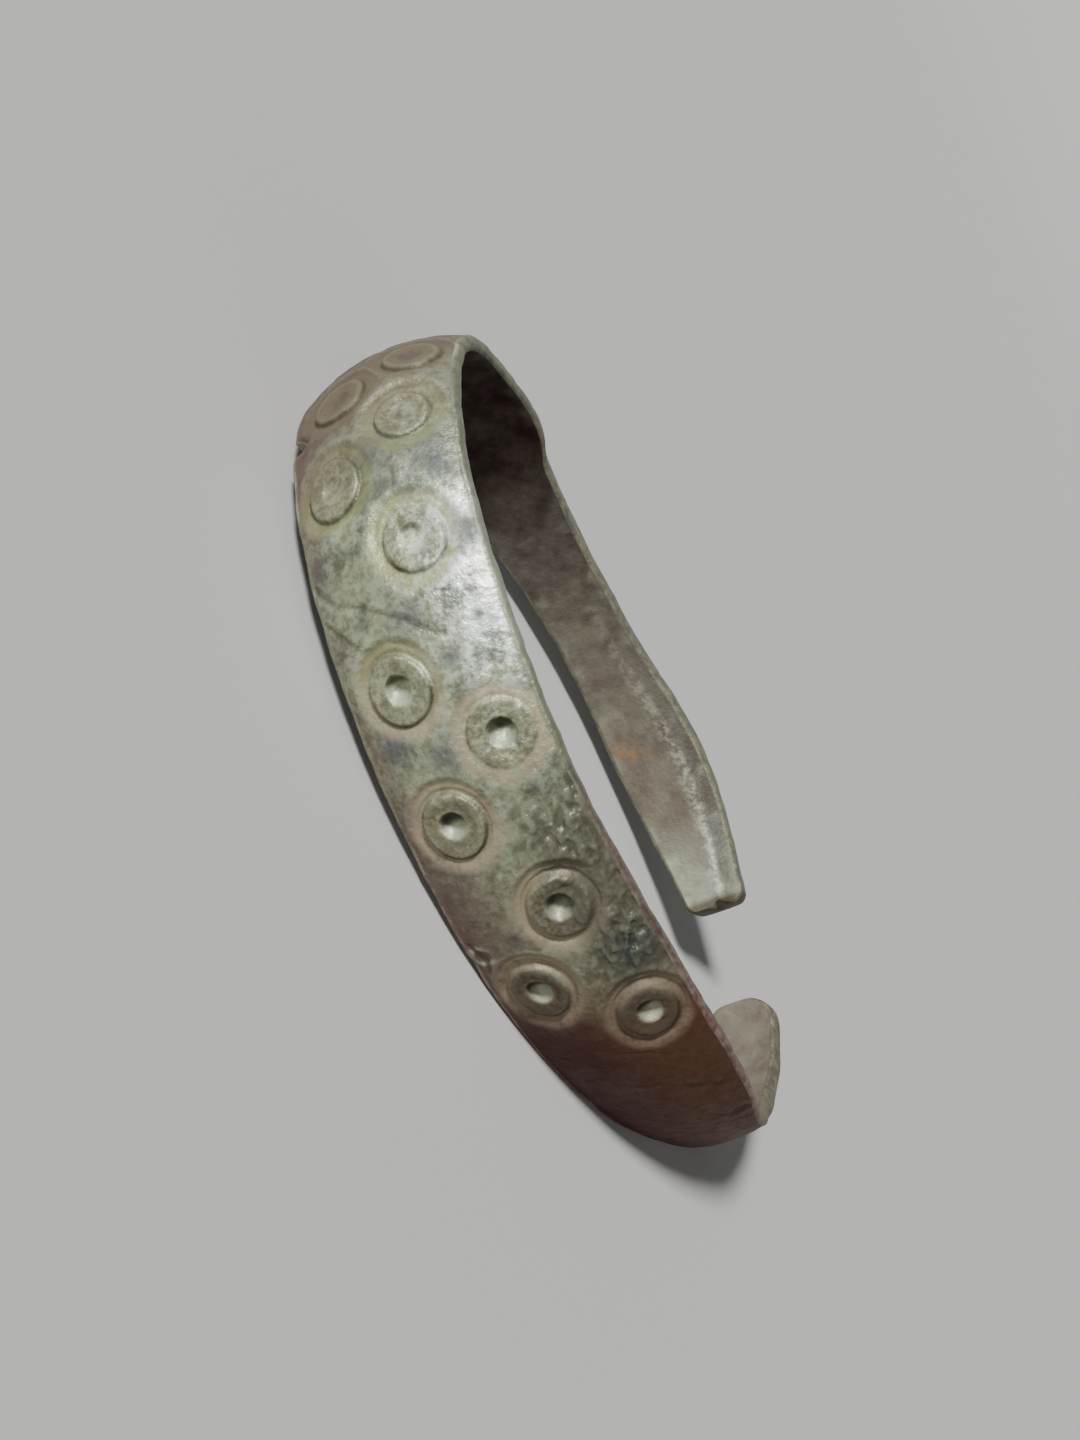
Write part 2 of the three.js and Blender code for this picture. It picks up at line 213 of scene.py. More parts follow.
# Scratches and incised lines: half width, depth and the points they run through, as lengths
# from the panel's middle and heights across.
LINES = [
    (0.34, 0.14, [(4.4, -6.1), (2.9, -4.6), (2.4, -3.4), (1.5, -2.1), (0.4, -0.2), (-1.2, 2.1)]),
    (0.26, 0.11, [(2.0, -5.8), (0.6, -4.6), (-0.6, -3.2)]),
    (0.20, 0.06, [(2.8, -0.2), (1.4, 1.4), (1.0, 3.4)]),
    (0.45, 0.16, [(-13.9, 0.4), (-12.9, 2.0), (-11.7, 3.9)]),
    (0.35, 0.14, [(-15.2, 2.4), (-14.6, 3.9), (-13.3, 5.0)]),
    (0.15, 0.11, [(-35.9, -1.3), (-36.7, 1.0), (-38.7, 2.6), (-40.4, 4.6)]),
    (0.13, 0.06, [(-32.0, -0.7), (-32.8, 1.2), (-34.5, 3.5)]),
    (0.11, 0.04, [(-31.2, -5.2), (-31.9, -3.6), (-33.4, -1.4)]),
    (0.11, 0.03, [(-33.6, -4.2), (-34.2, -3.0), (-36.4, -0.4)]),
    (0.15, 0.08, [(-43.0, 1.6), (-44.2, 2.4), (-45.6, 4.4)]),
    (0.15, 0.08, [(-44.8, 1.0), (-46.0, 2.2), (-47.0, 3.6)]),
    (0.20, 0.10, [(-20.6, -5.7), (-21.9, -5.0), (-22.9, -5.3)]),
]
LINE_REACH = 1.0
LINE_SPREAD = 1.6
LINE_JITTER = (0.16, 1.4, 23, 2)
LINE_MEAN = 0.75
LINE_UNEVEN = (0.5, 1.8, 31, 2)

# Small hollows with a raised lip: along, across, radius and depth.
HOLLOWS = [(-45.0, 3.3, 0.9, 0.16), (-21.6, -5.2, 0.7, 0.12)]
FLATTENING = 0.8
HOLLOW_WOBBLE = 0.2
HOLLOW_BOWL = (0.4, 1.0)
LIP_AT = 1.1
LIP_WIDTH = 0.25
LIP_SHARE = 0.3

# Unevenness of the outer face.
UNEVENNESS = [(0.06, 4.0, 3, 2), (0.05, 1.2, 9, 3)]
SKIN_SINK = 0.02
SMOOTH_IN_MARKS = 0.7

# The pitted band beside the upper edge, a fainter crumbly skin around it and a trace of it
# everywhere: where they start, are full and end, from the panel's middle and across.
PITTED_ALONG = (-29, -25, -18, -9)
PITTED_ACROSS = (0.6, 3.4)
CRUMBLY_ALONG = (-30, -24, -8, 2)
CRUMBLY_ACROSS = (-3.0, 3.0)
CRUMBLY_SHARE = 0.25
CRUMBLY_LEAST = 0.08
PITTED_MOST = 1.1
PITTED_STRETCH = (1.0, 1.0, 1.4)
PITTED_GRAINS = (0.37, 0.8, 41, 3)
PITTED_HOLES = (1, 0.9, 57, 3)
HOLE_DEPTH = 0.1
HOLE_EDGE = (0.15, 0.6)
PATCHY_MEAN = 0.85
PATCHY = (0.7, 2.6, 71, 2)

# Fine pits of the whole outer face, fewer toward the top bend.
FINE_PITS = (1, 0.7, 77, 2)
FINE_PIT_DEPTH = 0.04
FINE_PIT_EDGE = (0.25, 0.6)
FEWER_PITS_ALONG = (-6, 2)
FEWER_PITS = 0.6

# Unevenness of the inner face, and the fine grain of the long arm from this share on.
INNER_SKIN = (0.05, 3.6, 13, 3)
INNER_STRETCH = (1, 1, 0.6)
INNER_LIFT = 0.02
ARM_FROM = (0.737, 0.802)
ARM_GRAIN = (0.025, 0.9, 19, 2)

# Dents of the rims.
DENT_MEAN = 0.06
DENTS = (0.14, 1.9, 29, 3)
DENT_REACH = 0.9

# Stained spots: along from the panel's middle, across, and half their length and width.
SLATE_SPOTS = [
    (9.6, 4.6, 2.3, 2.0),
    (11.0, 0.4, 1.5, 1.5),
    (4.4, 5.3, 1.2, 1.0),
    (-0.9, 4.6, 0.5, 0.5),
    (-14.2, -3.8, 0.9, 0.8),
    (-2.7, 2.0, 0.8, 0.9),
    (0.5, 0.1, 1.0, 1.2),
    (5.2, -5.3, 1.4, 0.8),
    (-6.4, -4.0, 1.6, 1.5),
    (-8.0, -0.6, 1.0, 1.4),
]
BLUE_PLACE = (-24.6, 4.2, 1.7, 1.5)
RUST_PLACE = (69.4, -2.0, 0.8, 1.5)
RUST_SLANT = 0.5

# A chip out of the lower edge, a bruise in the upper edge and a nick in the long end.
CHIP_AT = 0.555 * LENGTH
CHIP_LENGTH = 1.1
CHIP_DEPTH = 1.0
CHIP_SLANT = 0.2
BRUISE_AT = 0.7366 * LENGTH
BRUISE_LENGTH = 2.6
BRUISE_DEPTH = 0.25
WEAR_REACH = 2.2
NICK_ACROSS = 0.4
NICK_WIDTH = 0.7
NICK_DEPTH = 0.4
NICK_LENGTH = 0.8
NICK_THICKNESS = 1.1
NICK_FADE = 0.3

# Parts of the section that a point can belong to.
OUTER_FACE = 1.0
OUTER_CORNER = 0.5
INNER_CORNER = 0.0
INNER_FACE = -1.0

# The relief and the mask of the edge fade so far from the rims, and the facet's ridge lies
# beside its edge.
RELIEF_FROM_RIM = (0.1, 0.5)
EDGE_FROM_RIM = (1.0, 0.2)
EDGE_ON_RIMS = 0.6
FACET_EDGE = 0.3
RIDGE_OFFSET = 0.2
RIDGE_WIDTH = 0.45

# Value of the mask of the inner face on the rims and on the faces of the two ends.
RIM_INSIDE = 0.4

# The mask across runs from 0 to 1 over this width, and the mask of hollows over twice this
# depth under or over the surroundings, which are this many points wide on each side.
ACROSS_SPAN = 16.0
HOLLOW_SCALE = 0.14
HOLLOW_REACH = 3

# The photograph's camera, against the loose band before it is laid down.
ELEVATION_DEG = 17.0
CAMERA_ROLL_DEG = 69.18
CAMERA_DISTANCE = 150.0
HEADING_DEG = 173.6
CAMERA_MIDDLE = (-8.63, -21.29)
PIXELS_PER_MM = 13.4
CENTRE_PX = (557.2, 718.8)
PHOTO_PX = (1080, 1440)
SENSOR_WIDTH_MM = 36
CLIP_START = 0.005

# The floor, in metres: flat to its first ring, and curving up from there.
FLOOR_SIDES = 96
FLOOR_RINGS = 20
FLAT_RADIUS = 0.7
FLOOR_RING_WIDTH = 0.08
FLOOR_CURVE = 0.3
FLOOR_COLOUR = (0.55, 0.55, 0.54, 1)
FLOOR_ROUGHNESS = 0.9

# Lamps: direction toward the lamp, spread in degrees, strength and colour.
LAMPS = {
    "key": ((-0.69, -0.38, 0.61), 12, 5.0, (1.0, 0.995, 0.97)),
    "fill": ((0.45, -0.70, 0.55), 60, 0.25, (0.95, 0.98, 1.0)),
}
STUDIO_COLOUR = (0.80, 0.81, 0.82, 1)
STUDIO_STRENGTH = 0.1


def smooth_size(key, s):
    """Smooth value of one station size at the lengths s."""
    at = STATIONS[:, AT]
    value = STATIONS[:, key]
    slope = np.empty(len(at))
    slope[1:-1] = (value[2:] - value[:-2]) / (at[2:] - at[:-2])
    slope[0] = (value[1] - value[0]) / (at[1] - at[0])
    slope[-1] = (value[-1] - value[-2]) / (at[-1] - at[-2])
    inside = np.clip(s, at[0], at[-1])
    i = np.clip(np.searchsorted(at, inside, side="right") - 1, 0, len(at) - 2)
    h = at[i + 1] - at[i]
    t = (inside - at[i]) / h
    rise = t * t * (3 - 2 * t)
    out = t * (1 - t) * (1 - t)
    back = t * t * (t - 1)
    blend = value[i] + (value[i + 1] - value[i]) * rise
    return blend + h * (slope[i] * out + slope[i + 1] * back)


def curvature(s):
    """One over the bend radius at the lengths s."""
    return np.interp(s, STATIONS[:, AT], 1 / STATIONS[:, BEND])


def walk_path():
    """Lengths, plan points and headings of the inner face, walked from the short end."""
    step = LENGTH / PATH_STEPS
    turned = curvature((np.arange(PATH_STEPS) + 0.5) * step) * step
    heading = np.concatenate([[0], -np.cumsum(turned)])
    course = heading[:-1] - turned / 2
    x = np.concatenate([[0], np.cumsum(np.cos(course) * step)])
    y = np.concatenate([[0], np.cumsum(np.sin(course) * step)])
    return np.arange(PATH_STEPS + 1) * step, x, y, heading


PATH_S, PATH_X, PATH_Y, PATH_HEADING = walk_path()


def path_at(s):
    """Plan point and heading of the inner face at the lengths s."""
    return (
        np.interp(s, PATH_S, PATH_X),
        np.interp(s, PATH_S, PATH_Y),
        np.interp(s, PATH_S, PATH_HEADING),
    )


PLAN_TURN = math.radians(PLAN_TURN_DEG) - float(path_at(MIDDLE)[2])


def end_narrowing(to_end, rounding):
    """Narrowing of half the band where an end is rounded off."""
    short = rounding - np.clip(to_end, 0, rounding)
    return rounding - np.sqrt(rounding * rounding - short * short)


def half_width(s):
    """Half the band's width at the lengths s."""
    cut = end_narrowing(s, SHORT_TIP_ROUND) + end_narrowing(LENGTH - s, LONG_TIP_ROUND)
    return smooth_size(WIDTH, s) / 2 - cut


def bulge(radius, half, across):
    """Height of an arc of that radius over its ends."""
    r = np.maximum(radius, half * 1.01)
    return np.sqrt(np.maximum(r * r - across * across, 0)) - np.sqrt(r * r - half * half)


def loose_point(s, across, out):
    """Points of the band before it is laid down."""
    x, y, heading = path_at(s)
    x = x - np.sin(heading) * out
    y = y + np.cos(heading) * out
    c = math.cos(PLAN_TURN)
    k = math.sin(PLAN_TURN)
    return np.stack([c * x - k * y, k * x + c * y, smooth_size(LIFT, s) + across], axis=-1)


def resting_plane():
    """The plane under the three places of the lower edge that carry the loose band."""
    s = np.linspace(0, LENGTH, TOUCH_STEPS + 1)
    rim = smooth_size(RIM, s)
    half = half_width(s)
    crown = rim + bulge(DOME_RADIUS, half, 0)
    edge = loose_point(s, -half, rim / 2)
    area = half * (rim + crown)
    centre = (loose_point(s, 0 * s, crown / 2) * area[:, None]).sum(0) / area.sum()
    best = None
    for i, j, k in itertools.combinations(range(len(s)), 3):
        normal = np.cross(edge[j] - edge[i], edge[k] - edge[i])
        length = np.linalg.norm(normal)
        if length < 1e-9:
            continue
        normal = normal / length
        if normal[2] < 0:
            normal = -normal
        if normal[2] < STEEPEST_REST:
            continue
        over = (edge - edge[i]) @ normal
        if over.min() < -1e-6:
            continue
        height = (centre - edge[i]) @ normal / normal[2]
        if best is None or height < best[0]:
            best = (height, normal, -float(edge[i] @ normal))
    return best[1], best[2]


REST_NORMAL, REST_CONSTANT = resting_plane()
UPRIGHT = np.array(
    Vector(REST_NORMAL.tolist()).rotation_difference(Vector((0, 0, 1))).to_matrix()
)


def grid_lengths():
    """Lengths of the fine mesh's columns."""
    def steps(a, b, step):
        return np.linspace(a, b, max(2, round((b - a) / step) + 1))

    ends = 1 - np.cos(np.linspace(0, math.pi / 2, END_COLUMNS))
    short = SHORT_TIP_ROUND * ends
    long = LENGTH - LONG_TIP_ROUND * ends[::-1]
    parts = [
        short,
        steps(short[-1], PLAIN_FROM, ARM_STEP)[1:],
        steps(PLAIN_FROM, MARKED_FROM, PLAIN_STEP)[1:],
        steps(MARKED_FROM, MARKED_TO, MARKED_STEP)[1:],
        steps(MARKED_TO, PLAIN_TO, PLAIN_STEP)[1:],
        steps(PLAIN_TO, long[0], ARM_STEP)[1:],
        long[1:],
    ]
    return np.concatenate(parts)


def inner_height(half, facet, across):
    """Height of the inner face, hollow across and cut back by the long arm's facet."""
    cut = np.maximum((across - half + FACET_WIDTH) / FACET_WIDTH, 0)
    return bulge(HOLLOW_RADIUS, half, across) + facet * FACET_DEPTH * cut


def section_rows(half, rim, facet):
    """Across and out values around the section, and which face each point belongs to."""
    corner = min(RIM_ROUND, rim * ROUND_OF_RIM, half * ROUND_SHARE)
    flat = half - corner
    even = np.linspace(-1, 1, OUTER_ROWS + 1) * flat
    turn = np.linspace(0, math.pi / 2, CORNER_ROWS + 2)[1:]
    rounded = corner * (1 - np.cos(turn))
    edge = flat + corner * np.sin(turn)
    outer_edge = rim + float(bulge(DOME_RADIUS, half, flat))
    upper_edge = min(float(inner_height(half, facet, flat)), rim - 2 * corner)
    lower_edge = float(inner_height(half, 0, flat))
    ridge = max(half - FACET_WIDTH, flat / 3)
    inner = np.concatenate(
        [
            np.linspace(flat, ridge, INNER_ROWS // 4 + 1)[:-1],
            np.linspace(ridge, -flat, INNER_ROWS - INNER_ROWS // 4 + 1),
        ]
    )
    across = [even, edge, edge[::-1], inner, -edge, -edge[::-1]]
    out = [
        rim + bulge(DOME_RADIUS, half, even),
        outer_edge - rounded,
        upper_edge + rounded[::-1],
        np.minimum(inner_height(half, facet, inner), np.maximum(upper_edge, lower_edge + 1)),
        lower_edge + rounded,
        outer_edge - rounded[::-1],
    ]
    parts = [OUTER_FACE, OUTER_CORNER, INNER_CORNER, INNER_FACE, INNER_CORNER, OUTER_CORNER]
    faces = [np.full(len(a), part) for a, part in zip(across, parts)]
    return np.concatenate(across), np.concatenate(out), np.concatenate(faces)


def lattice_noise(points, scale, seed):
    """Smooth noise from -1 to 1 with features of about the scale."""
    q = points / scale + 31.7 + seed * 7.31
    cell = np.floor(q).astype(np.int64)
    t = q - cell
    t = t * t * (3 - 2 * t)
    total = np.zeros(len(points))
    for corner in itertools.product((0, 1), repeat=3):
        i = cell + np.array(corner)
        key = i[:, 0] * 73856093 ^ i[:, 1] * 19349663 ^ i[:, 2] * 83492791 ^ seed * 2654435
        key = (key ^ (key >> 13)) * 1274126177 & 0x7FFFFFFF
        key = (key ^ (key >> 15)) * 668265263 & 0x7FFFFFFF
        weight = np.prod(np.where(np.array(corner) == 1, t, 1 - t), axis=1)
        total += (key / 0x7FFFFFFF * 2 - 1) * weight
    return total


def noise_at(points, height, scale, seed, layers):
    """Noise with finer layers on top, from about minus the height to the height."""
    total = np.zeros(len(points))
    reach = 0.0
    for i in range(layers):
        share = 0.55**i
        total += share * lattice_noise(points, scale / 2.1**i, seed + 11 * i)
        reach += share
    return height * (total / reach)


def ease(a, b, x):
    """0 below a, 1 above b and smooth between."""
    t = np.clip((x - a) / (b - a), 0, 1)
    return t * t * (3 - 2 * t)


def plateau(steps, x):
    """0 below the first of four steps and above the last, 1 between the middle two."""
    return ease(steps[0], steps[1], x) * (1 - ease(steps[2], steps[3], x))


def dome_arc(across):
    """Length over the dome from its crown."""
    return DOME_RADIUS * np.arcsin(np.clip(across / DOME_RADIUS, -0.99, 0.99))


def mark_offsets(s, across, middle, over):
    """Distances over the outer face from a mark's middle, along and across."""
    crown = float(smooth_size(RIM, middle) + bulge(DOME_RADIUS, half_width(middle), over))
    stretch = 1 + crown * float(curvature(middle))
    return (s - middle) * stretch, dome_arc(across) - dome_arc(over)


def segment_distance(x, y, a, b):
    """Distance from the points to the segment from a to b."""
    dx = b[0] - a[0]
    dy = b[1] - a[1]
    t = np.clip(((x - a[0]) * dx + (y - a[1]) * dy) / (dx * dx + dy * dy), 0, 1)
    return np.hypot(x - a[0] - t * dx, y - a[1] - t * dy)


def pit_share(x, y):
    """0 at the lowest point of a slanted pit and 1 at its brim."""
    x = x - PIT_SLANT
    room = PIT_RADIUS**2 - PIT_SLANT**2
    toward = x * PIT_SLANT
    return (toward + np.sqrt(toward**2 + room * (x * x + y * y))) / room


def mark_relief(r, share, upper, pit, moat, ring, width):
    """Height of a mark's profile at the distance r from its middle."""
    bowl = 1 - np.clip(share, 0, 1) ** STEEPNESS
    dish = RING_DISH * (1 - ease(PIT_RADIUS, ring - RING_LIP, r))
    wall = ease(ring, ring + width, r)
    bank = MOAT_RADIUS - MOAT_BANK + BANK_NARROWING * upper
    rise = 1 - MOAT_FLOOR_RISE * ease(ring + width, MOAT_FLOOR_RADIUS, r)
    rise = rise - (1 - MOAT_FLOOR_RISE) * ease(bank, MOAT_RADIUS + MOAT_BANK_OVER, r)
    depth = moat * (MOAT_LOWER_SHARE + MOAT_UPPER_GAIN * upper)
    return -pit * bowl - dish - depth * wall * rise


def mark_shade(index, x, r, angle, share, ring, moat):
    """Share of painted shade on the shaded parts of a mark."""
    steep = STEEPNESS * MARKS[index][2] * np.clip(share, 0, 1) ** (STEEPNESS - 1)
    steep = steep * np.cos(angle) * ease(*STEEP_WALL_TO, r)
    foot = plateau(FOOT_FROM_RING, r - ring)
    shaded = ease(*FOOT_SHADE, -np.cos(angle + FOOT_TURN)) * moat / FOOT_FULL_MOAT
    foot = foot * np.maximum(FOOT_SHARE * shaded, WORN_FOOT_SHARE if index < GAP_MARK else 0)
    painted_shade = np.maximum(ease(*STEEP_WALL, steep), foot)
    if index >= SHADED_PITS_FROM:
        in_pit = 1 - ease(*PIT_SHADE_TO, r)
        painted_shade = np.maximum(painted_shade, ease(*PIT_SHADE, x) * in_pit)
    return painted_shade


def ring_gap(r, angle, ring):
    """Depth of the gap in a worn ring."""
    turned = np.exp(-(((angle - GAP_ANGLE) / GAP_WIDTH) ** 2))
    return GAP_DEPTH * turned * plateau((*GAP_FROM, ring, ring + GAP_FADE), r)


def one_mark(index, x, y, r, wobble, grain):
    """Height of one mark and its masks, at the offsets x and y from its middle."""
    _, _, pit_depth, moat_depth, ring_share, ring_grain = MARKS[index]
    ring = RING_RADIUS * ring_share
    angle = np.arctan2(y, x)
    upper = 0.5 + 0.5 * np.cos(angle)
    if index == MERGING_MARK:
        open_side = np.exp(-(((angle - MERGING_ANGLE) / MERGING_WIDTH) ** 2))
        moat_depth = moat_depth * (MERGING_LEAST + (1 - MERGING_LEAST) * open_side)
    share = pit_share(x, y) * (1 + PIT_WOBBLE * wobble)
    width = LOW_RING_WALL if index >= LOW_MARKS_FROM else RING_WALL
    on_ring = plateau((*RING_MASK_FROM, ring, ring + RING_MASK_FADE), r)
    height = mark_relief(r, share, upper, pit_depth, moat_depth, ring, width)
    height = height + ring_grain * grain * on_ring
    if index == GAP_MARK:
        height = height - ring_gap(r, angle, ring)
    in_moat = ease(*MOAT_MASK_FROM, r - ring) * (1 - ease(*MOAT_MASK_TO, r))
    in_pit = 1 - ease(*PIT_MASK_TO, r)
    masks = {
        "moat": in_moat,
        "ring": on_ring,
        # Strongest on the pit's lower, lit side, where silver is painted as light.
        "pit": in_pit * (PIT_MASK_LOWER - upper),
        # Painted shade on the shaded pit walls, ring feet and pits.
        "wall": mark_shade(index, x, r, angle, share, ring, moat_depth),
    }
    return height, masks


def line_depth(s, across, points):
    """Depth of the scratches and incised lines."""
    jitter = noise_at(points, *LINE_JITTER)
    total = np.zeros(len(s))
    for half, depth, course in LINES:
        low = MIDDLE + min(p[0] for p in course) - LINE_REACH
        high = MIDDLE + max(p[0] for p in course) + LINE_REACH
        near = (s > low) & (s < high)
        x = s[near] - MIDDLE + jitter[near]
        y = across[near] + jitter[near]
        distance = np.full(near.sum(), np.inf)
        for a, b in zip(course[:-1], course[1:]):
            distance = np.minimum(distance, segment_distance(x, y, a, b))
        total[near] += depth * (1 - ease(0, half * LINE_SPREAD, distance))
    return total * (LINE_MEAN + noise_at(points, *LINE_UNEVEN))


def hollow_relief(s, across, wobble):
    """Height of the small hollows and their lips."""
    total = np.zeros(len(s))
    for along, over, radius, depth in HOLLOWS:
        y = (across - over) * FLATTENING
        r = np.hypot(s - MIDDLE - along, y) / radius + HOLLOW_WOBBLE * wobble
        lip = LIP_SHARE * np.exp(-(((r - LIP_AT) / LIP_WIDTH) ** 2))
        total += depth * (lip - 1 + ease(*HOLLOW_BOWL, r))
    return total


def outer_relief(s, across, points):
    """Relief of the ornament on the outer face, with the masks that its material reads."""
    relief = np.zeros(len(s))
    nearest = np.full(len(s), np.inf)
    masks = {name: np.zeros(len(s)) for name in ("moat", "ring", "pit", "wall")}
    wobble = noise_at(points, *WOBBLE)
    grain = noise_at(points, *GRAIN)
    for index, mark in enumerate(MARKS):
        middle = MIDDLE + mark[0] * LENGTH
        near = np.abs(s - middle) < MARK_REACH
        x, y = mark_offsets(s[near], across[near], middle, mark[1] * PANEL_WIDTH)
        wave = OUTLINE_WAVE * np.sin(2 * np.arctan2(y, x) + index)
        r = np.hypot(x / RING_STRETCH, y) * (1 + wave + OUTLINE_WOBBLE * wobble[near])
        height, masks_here = one_mark(index, x, y, r, wobble[near], grain[near])
        closer = r < nearest[near]
        relief[near] = np.where(closer, height, relief[near])
        nearest[near] = np.where(closer, r, nearest[near])
        for name, values in masks_here.items():
            masks[name][near] = np.maximum(masks[name][near], values)
    clear = ease(*CLEAR_OF_MARK, nearest)
    relief -= clear * line_depth(s, across, points)
    relief += clear * hollow_relief(s, across, wobble)
    masks["marked"] = 1 - ease(*MARK_MASK_TO, nearest)
    return relief, masks


def spot(along, across, place, slant):
    """Share of a soft spot, 1 at its middle, leaning along by the slant."""
    x = (along - place[0] - slant * (across - place[1])) / place[2]
    y = (across - place[1]) / place[3]
    return np.exp(-(x**2) - y**2)


def local_mean(values, reach):
    """Mean of each value and its neighbours in the grid, along and around."""
    mean = values
    for axis in (0, 1):
        mean = sum(np.roll(mean, i, axis) for i in range(-reach, reach + 1)) / (2 * reach + 1)
    return mean


class BandGrid:
    """Points of the fine mesh before any wear, as flat arrays, column by column."""

    def __init__(self):
        lengths = grid_lengths()
        halves = half_width(lengths)
        rims = smooth_size(RIM, lengths)
        facets = smooth_size(FACET, lengths)
        columns = [
            section_rows(float(half), float(rim), float(facet))
            for half, rim, facet in zip(halves, rims, facets)
        ]
        across, out, face = (np.array(rows) for rows in zip(*columns))
        self.count, self.around = across.shape
        self.s = np.repeat(lengths, self.around)
        self.across = across.ravel()
        self.out = out.ravel()
        self.face = face.ravel()
        self.half = np.repeat(halves, self.around)
        self.facet = np.repeat(np.clip(facets, 0, 1), self.around)
        self.points = loose_point(self.s, self.across, self.out)
        self.from_middle = self.s - MIDDLE
        self.to_edge = self.half - np.abs(self.across)
        self.outer = self.face == OUTER_FACE
        self.inner = self.face == INNER_FACE
        self.rims = (self.face == OUTER_CORNER) | (self.face == INNER_CORNER)


def pitted_share(grid):
    """Share of pitting: the band beside the upper edge, the crumbly skin and the trace."""
    crumbly = plateau(CRUMBLY_ALONG, grid.from_middle)
    crumbly = CRUMBLY_SHARE * crumbly * ease(*CRUMBLY_ACROSS, grid.across)
    pitted = plateau(PITTED_ALONG, grid.from_middle) * ease(*PITTED_ACROSS, grid.across)
    return pitted + crumbly + CRUMBLY_LEAST


def outer_skin(grid, pitted):
    """Hand-worked unevenness of the outer face, with its grains and pits."""
    points = grid.points
    height = sum(noise_at(points, *noise) for noise in UNEVENNESS)
    stretched = points * np.array(PITTED_STRETCH)
    grains = noise_at(stretched, *PITTED_GRAINS)
    holes = ease(*HOLE_EDGE, noise_at(stretched, *PITTED_HOLES))
    patchy = PATCHY_MEAN + noise_at(points, *PATCHY)
    amount = np.clip(pitted * patchy, 0, PITTED_MOST)
    height += (grains - HOLE_DEPTH * holes) * amount
    fine = ease(*FINE_PIT_EDGE, noise_at(points, *FINE_PITS))
    fewer = FEWER_PITS * ease(*FEWER_PITS_ALONG, grid.from_middle)
    return height - FINE_PIT_DEPTH * fine * (1 - fewer)


def inner_skin(grid):
    """Unevenness of the inner face, with fine grains on the long arm."""
    stretched = grid.points * np.array(INNER_STRETCH)
    height = INNER_LIFT + noise_at(stretched, *INNER_SKIN)
    on_arm = ease(*ARM_FROM, grid.s / LENGTH)
    return height + on_arm * noise_at(grid.points, *ARM_GRAIN)


def worn_places(grid, out):
    """Places of the points after the wear of the rims and the long end."""
    s = grid.s
    side = np.sign(grid.across)
    dents = DENT_MEAN + noise_at(grid.points, *DENTS)
    pull = ease(DENT_REACH, 0, grid.to_edge) * np.maximum(dents, 0)
    reach = ease(WEAR_REACH, 0, grid.to_edge)
    chip = 1 - ease(0, CHIP_LENGTH, np.abs(s - CHIP_AT + CHIP_SLANT * (out - 1)))
    pull = pull + reach * CHIP_DEPTH * chip * (side < 0)
    bruise = 1 - ease(0, BRUISE_LENGTH, np.abs(s - BRUISE_AT))
    pull = pull + reach * BRUISE_DEPTH * bruise * (side > 0)
    across = grid.across - side * pull
    nick = 1 - ease(0, NICK_WIDTH, np.abs(across - NICK_ACROSS))
    nick = nick * ease(LENGTH - NICK_LENGTH, LENGTH, s)
    nick = nick * (1 - ease(NICK_THICKNESS - NICK_FADE, NICK_THICKNESS + NICK_FADE, out))
    return s - NICK_DEPTH * nick, across


def lay_down(grid, points, cad_box):
    """The worn points as they lie, inside the solid's box, and their shift."""
    plain = grid.points @ UPRIGHT.T
    middle = (plain.min(0) + plain.max(0)) / 2
    drop = np.array([-middle[0], -middle[1], REST_CONSTANT - WORN_FLAT])
    low = np.array(cad_box[0]) / MM
    high = np.array(cad_box[1]) / MM
    return np.clip(points @ UPRIGHT.T + drop, low, high), drop


def band_mesh(grid, points):
    """The closed mesh of the grid, with a middle point in each end's face."""
    row = np.arange(grid.count - 1)[:, None] * grid.around
    j = np.arange(grid.around)[None, :]
    k = (j + 1) % grid.around
    quads = np.stack([row + j, row + k, row + k + grid.around, row + j + grid.around], axis=-1)
    faces = quads.reshape(-1, 4).tolist()
    ends = points.reshape(grid.count, grid.around, 3)[[0, -1]].mean(axis=1)
    hub = len(points)
    last = (grid.count - 1) * grid.around
    turn = [(i, (i + 1) % grid.around) for i in range(grid.around)]
    faces += [[b, a, hub] for a, b in turn]
    faces += [[last + a, last + b, hub + 1] for a, b in turn]
    mesh = bpy.data.meshes.new("bracelet_skin")
    mesh.from_pydata((np.vstack([points, ends]) * MM).tolist(), [], faces)
    mesh.validate()
    mesh.update()
    if signed_volume(mesh) < 0:
        mesh.flip_normals()
    for polygon in mesh.polygons:
        polygon.use_smooth = True
    return mesh


def colour_masks(grid, across, raised, pitted):
    """Masks that the material reads, besides those of the marks."""
    hollow = local_mean(raised.reshape(grid.count, grid.around), HOLLOW_REACH).ravel() - raised
    over_ridge = grid.across - grid.half + FACET_WIDTH
    ridge = np.exp(-(((over_ridge + RIDGE_OFFSET) / RIDGE_WIDTH) ** 2))
    outside = grid.outer | (grid.face == OUTER_CORNER)
    along = grid.from_middle
    return {
        "hollow": np.clip(0.5 + hollow / HOLLOW_SCALE, 0, 1),
        "inside": np.where(grid.inner, 1.0, np.where(grid.rims, RIM_INSIDE, 0.0)),
        "edge": ease(*EDGE_FROM_RIM, grid.to_edge) * outside + EDGE_ON_RIMS * grid.rims,
        "along": grid.s / LENGTH,
        "across": 0.5 + across / ACROSS_SPAN,
        "rough": np.clip(pitted, 0, 1),
        "facet": ease(0, FACET_EDGE, over_ridge) * grid.facet * grid.inner,
        "ridge": ridge * grid.facet * grid.inner,
        "slate": sum(spot(along, across, place, 0) for place in SLATE_SPOTS),
        "blue": spot(along, across, BLUE_PLACE, 0),
        "rust": spot(along, across, RUST_PLACE, RUST_SLANT),
    }


